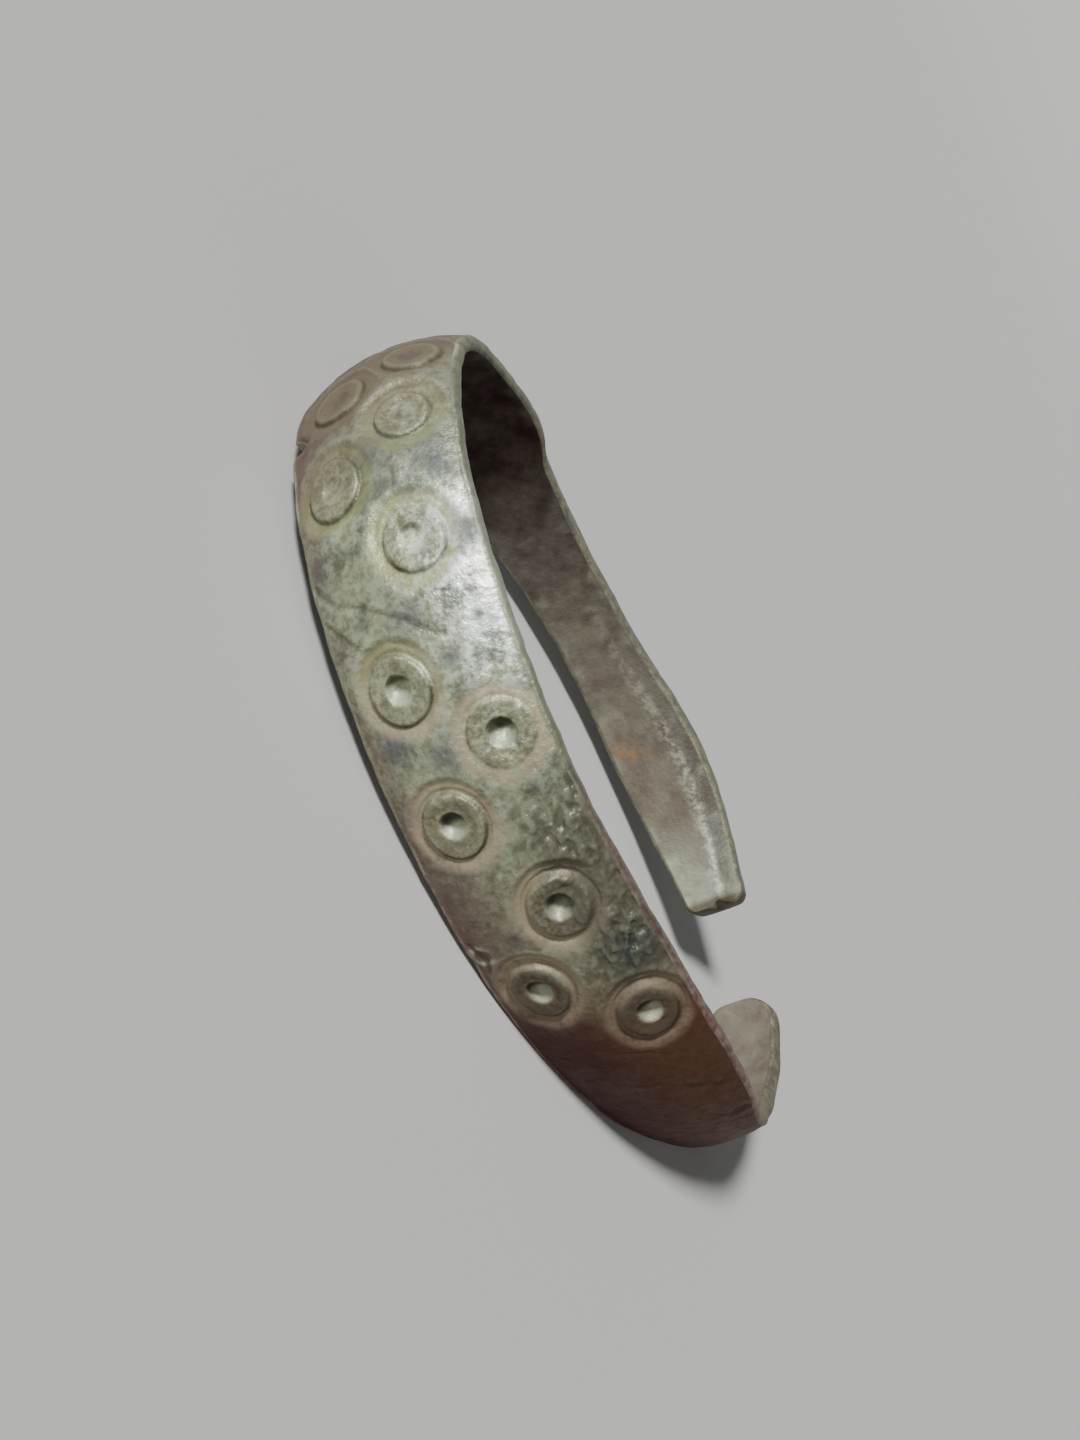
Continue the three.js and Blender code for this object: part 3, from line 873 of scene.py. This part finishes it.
def build_bracelet(cad_box):
    """The bracelet's fine mesh, laid down as the CAD solid lies, with its colour masks."""
    grid = BandGrid()
    relief, masks = outer_relief(grid.s, grid.across, grid.points)
    masks = {name: values * grid.outer for name, values in masks.items()}
    pitted = pitted_share(grid)
    smooth = 1 - SMOOTH_IN_MARKS * np.maximum(masks["moat"], masks["pit"])
    skin = outer_skin(grid, pitted) * smooth - SKIN_SINK
    skin = skin + relief * ease(*RELIEF_FROM_RIM, grid.to_edge)
    out = grid.out + np.where(grid.outer, skin, 0) + np.where(grid.inner, inner_skin(grid), 0)
    s, across = worn_places(grid, out)
    masks.update(colour_masks(grid, across, out - grid.out, pitted))

    points, drop = lay_down(grid, loose_point(s, across, out), cad_box)
    mesh = band_mesh(grid, points)
    for name, values in masks.items():
        ends = values.reshape(grid.count, grid.around)[[0, -1]].mean(axis=1)
        if name == "inside":
            ends[:] = RIM_INSIDE
        layer = mesh.attributes.new(name, "FLOAT", "POINT")
        layer.data.foreach_set("value", np.concatenate([values, ends]).astype(np.float32))
    piece = bpy.data.objects.new("bracelet_skin", mesh)
    bpy.context.scene.collection.objects.link(piece)
    return piece, drop


def signed_volume(mesh):
    """Six times the volume, positive when the faces look outwards."""
    mesh.calc_loop_triangles()
    corners = np.empty(len(mesh.vertices) * 3)
    mesh.vertices.foreach_get("co", corners)
    corners = corners.reshape(-1, 3)
    index = np.empty(len(mesh.loop_triangles) * 3, dtype=np.int32)
    mesh.loop_triangles.foreach_get("vertices", index)
    a, b, c = corners[index.reshape(-1, 3)].transpose(1, 0, 2)
    return float((a * np.cross(b, c)).sum())


class Shader:
    """Short calls that add and join the nodes of one material."""

    def __init__(self, name):
        self.material = bpy.data.materials.new(name)
        self.material.use_nodes = True
        self.tree = self.material.node_tree
        self.tree.nodes.clear()

    def node(self, kind, **inputs):
        made = self.tree.nodes.new(kind)
        for key, value in inputs.items():
            self.feed(made, key.replace("_", " "), value)
        return made

    def feed(self, node, key, value):
        socket = node.inputs[key]
        if isinstance(value, bpy.types.NodeSocket):
            self.tree.links.new(value, socket)
        else:
            socket.default_value = value

    def mask(self, name):
        made = self.node("ShaderNodeAttribute")
        made.attribute_type = "GEOMETRY"
        made.attribute_name = name
        return made.outputs["Fac"]

    def math(self, operation, a, b, clamp=False):
        made = self.node("ShaderNodeMath")
        made.operation = operation
        made.use_clamp = clamp
        self.feed(made, 0, a)
        self.feed(made, 1, b)
        return made.outputs[0]

    def times(self, first, *others):
        for value in others:
            first = self.math("MULTIPLY", first, value)
        return first

    def plus(self, a, b, clamp=False):
        return self.math("ADD", a, b, clamp)

    def minus(self, a, b):
        return self.math("SUBTRACT", a, b)

    def most(self, first, *others):
        for value in others:
            first = self.math("MAXIMUM", first, value)
        return first

    def ramp(self, value, fade):
        made = self.node("ShaderNodeMapRange", Value=value, From_Min=fade[0], From_Max=fade[1])
        made.interpolation_type = "SMOOTHSTEP"
        self.feed(made, "To Max", fade[2] if len(fade) > 2 else 1.0)
        return made.outputs["Result"]

    def noise(self, coordinates, size_mm, detail, roughness=0.55):
        scale = 1 / (size_mm * MM)
        made = self.node("ShaderNodeTexNoise", Scale=scale, Detail=detail, Roughness=roughness)
        self.feed(made, "Vector", coordinates)
        return made.outputs["Fac"]

    def mix(self, amount, a, b):
        made = self.node("ShaderNodeMix")
        made.data_type = "RGBA"
        self.feed(made, 0, amount)
        self.feed(made, 6, a)
        self.feed(made, 7, b)
        return made.outputs[2]

    def finish(self, shader):
        self.node("ShaderNodeOutputMaterial", Surface=shader.outputs["BSDF"])
        return self.material


# Colours of the patina, linear.
# Near-white silver painted as the highlight beside the upper edge.
SILVER_HIGHLIGHT = (0.93, 1.0, 0.95, 1)
SILVER = (0.66, 0.755, 0.56, 1)
GREY_METAL = (0.268, 0.28, 0.178, 1)
DARK_METAL = (0.116, 0.122, 0.100, 1)
SLATE_METAL = (0.105, 0.112, 0.118, 1)
RING_PATINA = (0.165, 0.15, 0.085, 1)
OLD_RING = (0.085, 0.064, 0.045, 1)
TAN_PATINA = (0.43, 0.35, 0.235, 1)
OLIVE_TAN = (0.325, 0.335, 0.135, 1)
TOP_PATINA = (0.118, 0.092, 0.077, 1)
PINK_PATINA = (0.12, 0.085, 0.07, 1)
# Purple: partly patina, partly a painted reflection of the surroundings on the lower side.
PURPLE = (0.125, 0.075, 0.068, 1)
# Brown and maroon of the short end: partly patina, partly painted shade, maroon on its lower side.
BROWN = (0.068, 0.018, 0.005, 1)
MAROON = (0.045, 0.007, 0.011, 1)
DIRT = (0.07, 0.055, 0.035, 1)
# Near-black brown painted as shade in the marks' pits and at the feet of their rings.
PAINTED_SHADE_COLOUR = (0.032, 0.023, 0.014, 1)
OLIVE_SLATE = (0.115, 0.11, 0.08, 1)
BLUE_SPOT = (0.03, 0.042, 0.055, 1)
PALE_PINK = (0.30, 0.215, 0.19, 1)
# Near-black maroon of the inner face in the top bend, partly painted shade.
INNER_DARK = (0.026, 0.011, 0.010, 1)
INNER_BROWN = (0.10, 0.074, 0.064, 1)
INNER_GREY = (0.22, 0.205, 0.16, 1)
# Near-black painted as shade on the long arm's facet.
FACET_PAINTED_SHADE = (0.055, 0.051, 0.048, 1)
RUST = (0.34, 0.20, 0.09, 1)

# Noises of the patina: size in millimetres, detail and roughness.
BROAD_NOISE = (9.0, 3.0)
PATCH_NOISE = (2.4, 6.0, 0.62)
CLOUD_NOISE = (1.3, 2.0, 0.5)
MOTTLE_NOISE = (0.8, 5.0, 0.65)
GRAIN_NOISE = (0.3, 4.0, 0.6)

# Fades: the value where each is nothing, where it is full, and its most if less than 1. Places
# along run from 0 at the short end and places across from 0 at the lower rim, both to 1.
# Where the painted highlight lies on the silver beside the upper edge.
BRIGHT_TOP = (0.525, 0.49)
BRIGHT_LOW = (0.395, 0.44)
BRIGHT_ACROSS = (0.44, 0.75)
BRIGHT_RIM = (0.97, 0.84)
LOWER_SIDE = (0.62, 0.25)
TOP_BEND = (0.51, 0.58, 0.92)
TOP_PATINA_ALONG = (0.56, 0.60)
PINK_ALONG = (0.42, 0.33)
PINK_MOST = (0.45, 0.40)
LOW_END = (0.312, 0.25)
LOW_END_MOST = (0.345, 0.285)
LOW_EDGE_ALONG = (0.38, 0.46, 0.35)
LOW_EDGE_ACROSS = (0.30, 0.08)
OLIVE_ALONG = (0.41, 0.47)
FADING_TAN = (0.44, 0.60, 0.45)
PIT_SILVER_FADE = (0.46, 0.52)
OLD_RING_ALONG = (0.38, 0.31)
OLIVE_SLATE_ALONG = (0.41, 0.34)
PALE_ARM = (0.68, 0.90)
PALE_SHORT_ARM = (0.16, 0.08)
INNER_BROWN_ALONG = (0.52, 0.42, 0.35)
SILVER_TIP = (0.945, 0.985, 0.35)
PINK_RIM = (0.42, 0.32)
PINK_RIM_END = (0.06, 0.16)
END_FACE = (0.993, 0.998, 0.8)
INSIDE_FACE = (0.5, 0.9)
INSIDE_RIM_OUT = (0.1, 0.35)
INSIDE_RIM_IN = (0.7, 0.45, 0.7)
GREY_MOTTLE = (0.42, 0.64)
DARK_GRAIN = (0.50, 0.66, 0.35)
DARK_PATCHES = (0.50, 0.66, 0.75)
DARK_CLOUDS = (0.56, 0.70, 0.6)
TAN_MOTTLE = (0.2, 0.6)
BLUE_MOTTLE = (0.35, 0.55, 0.8)
RUST_MOTTLE = (0.3, 0.55, 0.7)
RIM_MOTTLE = (0.35, 0.65)
RIDGE_MOTTLE = (0.56, 0.44, 0.42)
RING_GRAIN = (0.42, 0.62, 0.4)
STAIN_PATCHES = (0.32, 0.50)
PURPLE_PATCHES = (0.4, 0.65, 0.18)
INNER_PATCHES = (0.3, 0.8)
PALE_PATCHES = (0.1, 0.75)
TIP_PATCHES = (0.70, 0.40)
DIRTY_HOLLOW = (0.52, 0.85, 0.5)
POLISHED_HOLLOW = (0.48, 0.15)

# Shares of the layers, in the order in which they are laid.
GREY_SHADE = 0.62
BRIGHTEST_POWER = 3.0
BRIGHTEST_CLEAR = 0.45
STAIN_SHARE = 0.9
TOP_LEAN = 0.07
TOP_MIDDLE = 0.55
WANDER = 0.8
PINK_LOWER_SIDE = 0.5
PINK_LEAST = 0.3
LOW_EDGE_SHARE = 0.9
LOW_END_SHARE = 0.95
TAN_SHARE = 0.7
AGED_LOW_END = 0.7
AGED_TOP = 0.75
PIT_SILVER_AND_LIGHT = 0.5
RING_LEAST = 0.3
OLD_RING_SHARE = 0.3
PAINTED_SHADE_SHARE = 0.85
SLATE_SHARE = 0.85
FACET_SHARE = 0.6
MARKS_KEPT_OPEN = 0.85
ROUGH_KEPT_OPEN = 0.65
EDGE_POLISH = 0.1
POLISH_SHARE = 0.35
POLISH_ON_DARK = 0.32
SLATE_DARKNESS = 0.5

# Sheen of the surface: dull patina is rougher and less metallic than worn metal.
DULL_MARKS = 0.6
DULL_INSIDE = 0.8
DULL_STAIN = 0.8
ROUGHNESS = 0.32
ROUGHNESS_DULL = 0.2
ROUGHNESS_MOTTLE = 0.4
METALLIC = 0.7
METALLIC_DULL = 0.45
METALLIC_BRIGHT = 0.3
SPECULAR_LEVEL = 0.05
BUMP_MOTTLE = 0.6
BUMP_GRAIN = 0.4
BUMP_STRENGTH = 0.75
BUMP_DISTANCE = 0.2 * MM


def bronze_shader():
    """The bronze's shader, with the values that its layers read."""
    sh = Shader("worn_bronze")
    place = sh.node("ShaderNodeTexCoord").outputs["Object"]
    for name in ("along", "across", "inside", "rough", "marked"):
        setattr(sh, name, sh.mask(name))
    sh.patches = sh.noise(place, *PATCH_NOISE)
    sh.clouds = sh.noise(place, *CLOUD_NOISE)
    sh.mottle = sh.noise(place, *MOTTLE_NOISE)
    sh.grain = sh.noise(place, *GRAIN_NOISE)
    broad = sh.noise(place, *BROAD_NOISE)
    sh.wander = sh.times(sh.minus(broad, 0.5), WANDER)
    sh.bright = bright_share(sh)
    sh.stain = sh.times(sh.mask("slate"), sh.ramp(sh.patches, STAIN_PATCHES))
    sh.top = top_share(sh)
    sh.pink = pink_share(sh)
    sh.low_end = low_end_share(sh)
    sh.low_edge = low_edge_share(sh)
    sh.slate = sh.times(sh.rough, sh.ramp(sh.along, OLIVE_SLATE_ALONG))
    return sh


def bright_share(sh):
    """The silvery metal beside the upper edge, with a painted highlight where it is brightest."""
    along = sh.times(sh.ramp(sh.along, BRIGHT_TOP), sh.ramp(sh.along, BRIGHT_LOW))
    return sh.times(along, sh.ramp(sh.across, BRIGHT_ACROSS), sh.ramp(sh.across, BRIGHT_RIM))


def top_share(sh):
    """The duller top bend, which starts earlier on the lower side."""
    lean = sh.times(sh.minus(TOP_MIDDLE, sh.across), TOP_LEAN)
    return sh.ramp(sh.plus(sh.along, lean), TOP_BEND)


def pink_share(sh):
    """The pinkish lower panel, most on its lower side, and the top bend."""
    lower_side = sh.ramp(sh.across, LOWER_SIDE)
    lower_side = sh.plus(sh.times(lower_side, PINK_LOWER_SIDE), PINK_LEAST)
    pink = sh.plus(sh.ramp(sh.along, PINK_ALONG), sh.wander, clamp=True)
    return sh.most(sh.times(pink, lower_side, sh.ramp(sh.along, PINK_MOST)), sh.top)


def low_end_share(sh):
    """The brown short end, partly painted shade where the band turns away from the light."""
    low_end = sh.plus(sh.ramp(sh.along, LOW_END), sh.wander, clamp=True)
    return sh.times(low_end, sh.ramp(sh.along, LOW_END_MOST))


def low_edge_share(sh):
    """The purple along the lower rim, partly patina and partly painted reflection."""
    low_edge = sh.minus(LOW_EDGE_SHARE, sh.ramp(sh.along, LOW_EDGE_ALONG))
    return sh.times(sh.ramp(sh.across, LOW_EDGE_ACROSS), low_edge)


def metal(sh):
    """Polished silvery metal with a painted highlight beside the upper edge, darker grey patches
    and slate stains.
    """
    brightest = sh.math("POWER", sh.bright, BRIGHTEST_POWER)
    silver = sh.mix(brightest, SILVER, SILVER_HIGHLIGHT)
    shade = sh.minus(GREY_SHADE, sh.times(sh.bright, GREY_SHADE))
    silver = sh.mix(shade, silver, GREY_METAL)
    grey = sh.minus(1.0, sh.times(brightest, BRIGHTEST_CLEAR))
    grey = sh.times(sh.ramp(sh.mottle, GREY_MOTTLE), grey)
    metal = sh.mix(grey, silver, GREY_METAL)
    layers = (sh.grain, DARK_GRAIN), (sh.patches, DARK_PATCHES), (sh.clouds, DARK_CLOUDS)
    for noise, fade in layers:
        metal = sh.mix(sh.ramp(noise, fade), metal, DARK_METAL)
    return sh.mix(sh.times(sh.stain, STAIN_SHARE), metal, SLATE_METAL)


def patina(sh, colour):
    """Duller and pinker on the top bend and lower panel, brown at the short end, partly as painted
    shade.
    """
    aged = sh.mix(sh.ramp(sh.along, TOP_PATINA_ALONG), PINK_PATINA, TOP_PATINA)
    colour = sh.mix(sh.pink, colour, aged)
    colour = sh.mix(sh.low_edge, colour, PURPLE)
    lower_side = sh.ramp(sh.across, LOWER_SIDE)
    # Maroon on the lower side of the brown end, partly painted shade.
    brown = sh.mix(lower_side, BROWN, MAROON)
    # Purple patches in the brown, partly painted reflection.
    brown = sh.mix(sh.ramp(sh.patches, PURPLE_PATCHES), brown, PURPLE)
    return sh.mix(sh.times(sh.low_end, LOW_END_SHARE), colour, brown)


def marks(sh, colour):
    """Tan moats, silver painted as light in the pits, darker grains on the rings and painted
    shade.
    """
    aged = sh.most(sh.times(sh.low_end, AGED_LOW_END), sh.times(sh.top, AGED_TOP))
    tan = sh.mix(sh.ramp(sh.along, OLIVE_ALONG), TAN_PATINA, OLIVE_TAN)
    tan = sh.mix(aged, tan, PURPLE)
    share = sh.minus(TAN_SHARE, sh.ramp(sh.along, FADING_TAN))
    share = sh.times(sh.mask("moat"), sh.ramp(sh.mottle, TAN_MOTTLE), share)
    colour = sh.mix(share, colour, tan)
    # Silver painted in the pits as light, strongest on their lower, lit side and less toward the
    # top bend.
    pit_silver_fading = sh.times(sh.ramp(sh.along, PIT_SILVER_FADE), PIT_SILVER_AND_LIGHT)
    pit_silver_and_light = sh.times(sh.mask("pit"), sh.minus(PIT_SILVER_AND_LIGHT, pit_silver_fading))
    colour = sh.mix(pit_silver_and_light, colour, SILVER)
    old = sh.ramp(sh.along, OLD_RING_ALONG)
    grains = sh.plus(sh.ramp(sh.grain, RING_GRAIN), RING_LEAST)
    grains = sh.plus(grains, sh.times(old, OLD_RING_SHARE))
    grains = sh.times(grains, sh.mask("ring"))
    colour = sh.mix(grains, colour, sh.mix(old, RING_PATINA, OLD_RING))
    # Painted shade on the shaded walls and in the pits of the marks.
    return sh.mix(sh.times(sh.mask("wall"), PAINTED_SHADE_SHARE), colour, PAINTED_SHADE_COLOUR)


def pitted_skin(sh, colour):
    """Slate where the skin is pitted, with a blue spot."""
    colour = sh.mix(sh.times(sh.slate, SLATE_SHARE), colour, OLIVE_SLATE)
    blue = sh.times(sh.mask("blue"), sh.ramp(sh.mottle, BLUE_MOTTLE))
    return sh.mix(blue, colour, BLUE_SPOT)


def inner_face(sh):
    """Dark maroon in the bend, partly painted shade; greyer arms with painted shade on the facet
    and a painted highlight on its ridge; one rusty spot.
    """
    pale = sh.ramp(sh.along, PALE_ARM)
    pale = sh.most(pale, sh.ramp(sh.along, PALE_SHORT_ARM))
    # The near-black maroon in the bend is partly painted shade.
    inner = sh.mix(sh.ramp(sh.patches, INNER_PATCHES), INNER_DARK, INNER_BROWN)
    inner = sh.mix(sh.ramp(sh.along, INNER_BROWN_ALONG), inner, INNER_BROWN)
    greyer = sh.mix(sh.ramp(sh.patches, PALE_PATCHES), INNER_BROWN, INNER_GREY)
    inner = sh.mix(pale, inner, greyer)
    tip = sh.times(sh.ramp(sh.along, SILVER_TIP), sh.ramp(sh.patches, TIP_PATCHES))
    inner = sh.mix(tip, inner, SILVER)
    # Painted shade on the long arm's facet.
    inner = sh.mix(sh.times(sh.mask("facet"), FACET_SHARE), inner, FACET_PAINTED_SHADE)
    # Silver painted as a highlight along the facet's ridge.
    ridge = sh.times(sh.mask("ridge"), sh.ramp(sh.mottle, RIDGE_MOTTLE))
    inner = sh.mix(ridge, inner, SILVER)
    rust = sh.times(sh.mask("rust"), sh.ramp(sh.mottle, RUST_MOTTLE))
    return sh.mix(rust, inner, RUST)


def rims(sh, colour):
    """Pink and purple rims on the lower half, the purple partly painted reflection, greener ones
    on the arms, and the long end.
    """
    low_half = sh.times(sh.ramp(sh.along, PINK_RIM), sh.ramp(sh.along, PINK_RIM_END))
    pale = sh.mix(low_half, GREY_METAL, PALE_PINK)
    dark = sh.mix(low_half, DARK_METAL, PURPLE)
    rim = sh.mix(sh.ramp(sh.mottle, RIM_MOTTLE), dark, pale)
    on_rim = sh.times(sh.ramp(sh.inside, INSIDE_RIM_OUT), sh.ramp(sh.inside, INSIDE_RIM_IN))
    colour = sh.mix(on_rim, colour, rim)
    return sh.mix(sh.ramp(sh.along, END_FACE), colour, DIRT)


def dirt_and_polish(sh, colour):
    """Dirt in the hollows, and polish on the raised places."""
    hollow = sh.mask("hollow")
    skin = sh.minus(1.0, sh.times(sh.marked, MARKS_KEPT_OPEN))
    skin = sh.times(skin, sh.minus(1.0, sh.times(sh.rough, ROUGH_KEPT_OPEN)))
    colour = sh.mix(sh.times(sh.ramp(hollow, DIRTY_HOLLOW), skin), colour, DIRT)
    polish = sh.times(sh.mask("edge"), EDGE_POLISH)
    polish = sh.most(sh.ramp(hollow, POLISHED_HOLLOW), polish)
    dark = sh.most(sh.low_end, sh.times(sh.slate, SLATE_DARKNESS))
    worn = sh.minus(POLISH_SHARE, sh.times(dark, POLISH_ON_DARK))
    return sh.mix(sh.times(polish, worn, skin), colour, SILVER)


def surface(sh, colour):
    """The finished surface in that colour."""
    dull = sh.plus(sh.low_end, sh.times(sh.marked, DULL_MARKS), clamp=True)
    inside = sh.times(sh.inside, DULL_INSIDE)
    dull = sh.most(dull, inside, sh.low_edge, sh.pink, sh.times(sh.stain, DULL_STAIN))
    roughness = sh.plus(sh.times(dull, ROUGHNESS_DULL), ROUGHNESS)
    uneven = sh.times(sh.minus(sh.mottle, 0.5), ROUGHNESS_MOTTLE)
    roughness = sh.plus(roughness, uneven, clamp=True)
    metallic = sh.minus(METALLIC, sh.times(dull, METALLIC_DULL))
    metallic = sh.minus(metallic, sh.times(sh.bright, METALLIC_BRIGHT))
    height = sh.plus(sh.times(sh.mottle, BUMP_MOTTLE), sh.times(sh.grain, BUMP_GRAIN))
    bump = sh.node("ShaderNodeBump", Height=height, Strength=BUMP_STRENGTH, Distance=BUMP_DISTANCE)
    shader = sh.node("ShaderNodeBsdfPrincipled", Metallic=metallic, Roughness=roughness)
    shader.inputs["Specular IOR Level"].default_value = SPECULAR_LEVEL
    sh.feed(shader, "Base Color", colour)
    sh.feed(shader, "Normal", bump.outputs["Normal"])
    return sh.finish(shader)


def bronze_material():
    """Worn and patinated bronze."""
    sh = bronze_shader()
    colour = pitted_skin(sh, marks(sh, patina(sh, metal(sh))))
    colour = sh.mix(sh.ramp(sh.inside, INSIDE_FACE), colour, inner_face(sh))
    return surface(sh, dirt_and_polish(sh, rims(sh, colour)))


def plain_material(name, colour, roughness):
    """One plain colour for the floor."""
    made = Shader(name)
    return made.finish(
        made.node("ShaderNodeBsdfPrincipled", Base_Color=colour, Roughness=roughness)
    )


def make_floor():
    """A wide pale floor that curves up far from the bracelet."""
    radii = [FLAT_RADIUS + FLOOR_RING_WIDTH * i for i in range(FLOOR_RINGS)]
    heights = [FLOOR_CURVE * (r - radii[0]) ** 2 for r in radii]
    turns = [2 * math.pi * i / FLOOR_SIDES for i in range(FLOOR_SIDES)]
    vertices = [
        (r * math.cos(a), r * math.sin(a), z) for r, z in zip(radii, heights) for a in turns
    ]
    faces = [list(range(FLOOR_SIDES))]
    for ring in range(len(radii) - 1):
        for i in range(FLOOR_SIDES):
            a = ring * FLOOR_SIDES + i
            b = ring * FLOOR_SIDES + (i + 1) % FLOOR_SIDES
            faces.append([a, a + FLOOR_SIDES, b + FLOOR_SIDES, b])
    mesh = bpy.data.meshes.new("floor")
    mesh.from_pydata(vertices, [], faces)
    for polygon in mesh.polygons:
        polygon.use_smooth = True
    floor = bpy.data.objects.new("floor", mesh)
    bpy.context.scene.collection.objects.link(floor)
    floor.data.materials.append(plain_material("pale_floor", FLOOR_COLOUR, FLOOR_ROUGHNESS))


def soft_light(name, toward, spread_deg, strength, colour):
    """Even light from far away, soft like a large lamp of that spread."""
    data = bpy.data.lights.new(name, "SUN")
    data.angle = math.radians(spread_deg)
    data.energy = strength
    data.color = colour
    light = bpy.data.objects.new(name, data)
    light.rotation_euler = Vector(toward).to_track_quat("Z", "Y").to_euler()
    bpy.context.scene.collection.objects.link(light)


def make_lights():
    """Soft studio light, the strongest from above the top bend."""
    for name, lamp in LAMPS.items():
        soft_light(name, *lamp)
    world = bpy.data.worlds.new("studio")
    world.use_nodes = True
    background = world.node_tree.nodes["Background"]
    background.inputs["Color"].default_value = STUDIO_COLOUR
    background.inputs["Strength"].default_value = STUDIO_STRENGTH
    bpy.context.scene.world = world


def make_camera(drop):
    """The photograph's camera, carried along as the band is laid down."""
    t = math.radians(ELEVATION_DEG)
    roll = math.radians(CAMERA_ROLL_DEG)
    back = np.array([0, -math.cos(t), math.sin(t)])
    right0 = np.array([1.0, 0, 0])
    up0 = np.cross(back, right0)
    right = math.cos(roll) * right0 + math.sin(roll) * up0
    up = -math.sin(roll) * right0 + math.cos(roll) * up0
    turn = math.radians(PLAN_TURN_DEG - HEADING_DEG)
    spin = np.array(
        [
            [math.cos(turn), -math.sin(turn), 0],
            [math.sin(turn), math.cos(turn), 0],
            [0, 0, 1],
        ]
    )
    middle = loose_point(MIDDLE, 0, 0) * (1, 1, 0)
    eye = back * CAMERA_DISTANCE - np.array([CAMERA_MIDDLE[0], CAMERA_MIDDLE[1], 0])
    eye = UPRIGHT @ (spin @ eye + middle) + drop
    axes = [UPRIGHT @ (spin @ axis) for axis in (right, up, back)]
    data = bpy.data.cameras.new("camera")
    focal_px = PIXELS_PER_MM * CAMERA_DISTANCE
    data.sensor_width = SENSOR_WIDTH_MM
    data.lens = focal_px / max(PHOTO_PX) * data.sensor_width
    data.shift_x = -(CENTRE_PX[0] - PHOTO_PX[0] / 2) / max(PHOTO_PX)
    data.shift_y = (CENTRE_PX[1] - PHOTO_PX[1] / 2) / max(PHOTO_PX)
    data.clip_start = CLIP_START
    camera = bpy.data.objects.new("camera", data)
    matrix = np.eye(4)
    matrix[:3, :3] = np.array(axes).T
    matrix[:3, 3] = eye * MM
    camera.matrix_world = Matrix(matrix.tolist())
    bpy.context.scene.collection.objects.link(camera)
    bpy.context.scene.camera = camera


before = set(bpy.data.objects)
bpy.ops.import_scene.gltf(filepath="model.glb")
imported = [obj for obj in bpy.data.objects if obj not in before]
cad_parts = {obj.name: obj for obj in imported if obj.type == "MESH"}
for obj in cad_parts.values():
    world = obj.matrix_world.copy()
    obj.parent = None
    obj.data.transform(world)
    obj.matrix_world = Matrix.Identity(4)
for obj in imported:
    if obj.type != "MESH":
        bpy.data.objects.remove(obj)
cad_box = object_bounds()

bracelet, drop = build_bracelet(cad_box)
bracelet.data.materials.append(bronze_material())
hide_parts("bracelet")
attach(bracelet, "root")
make_camera(drop)
make_floor()
make_lights()
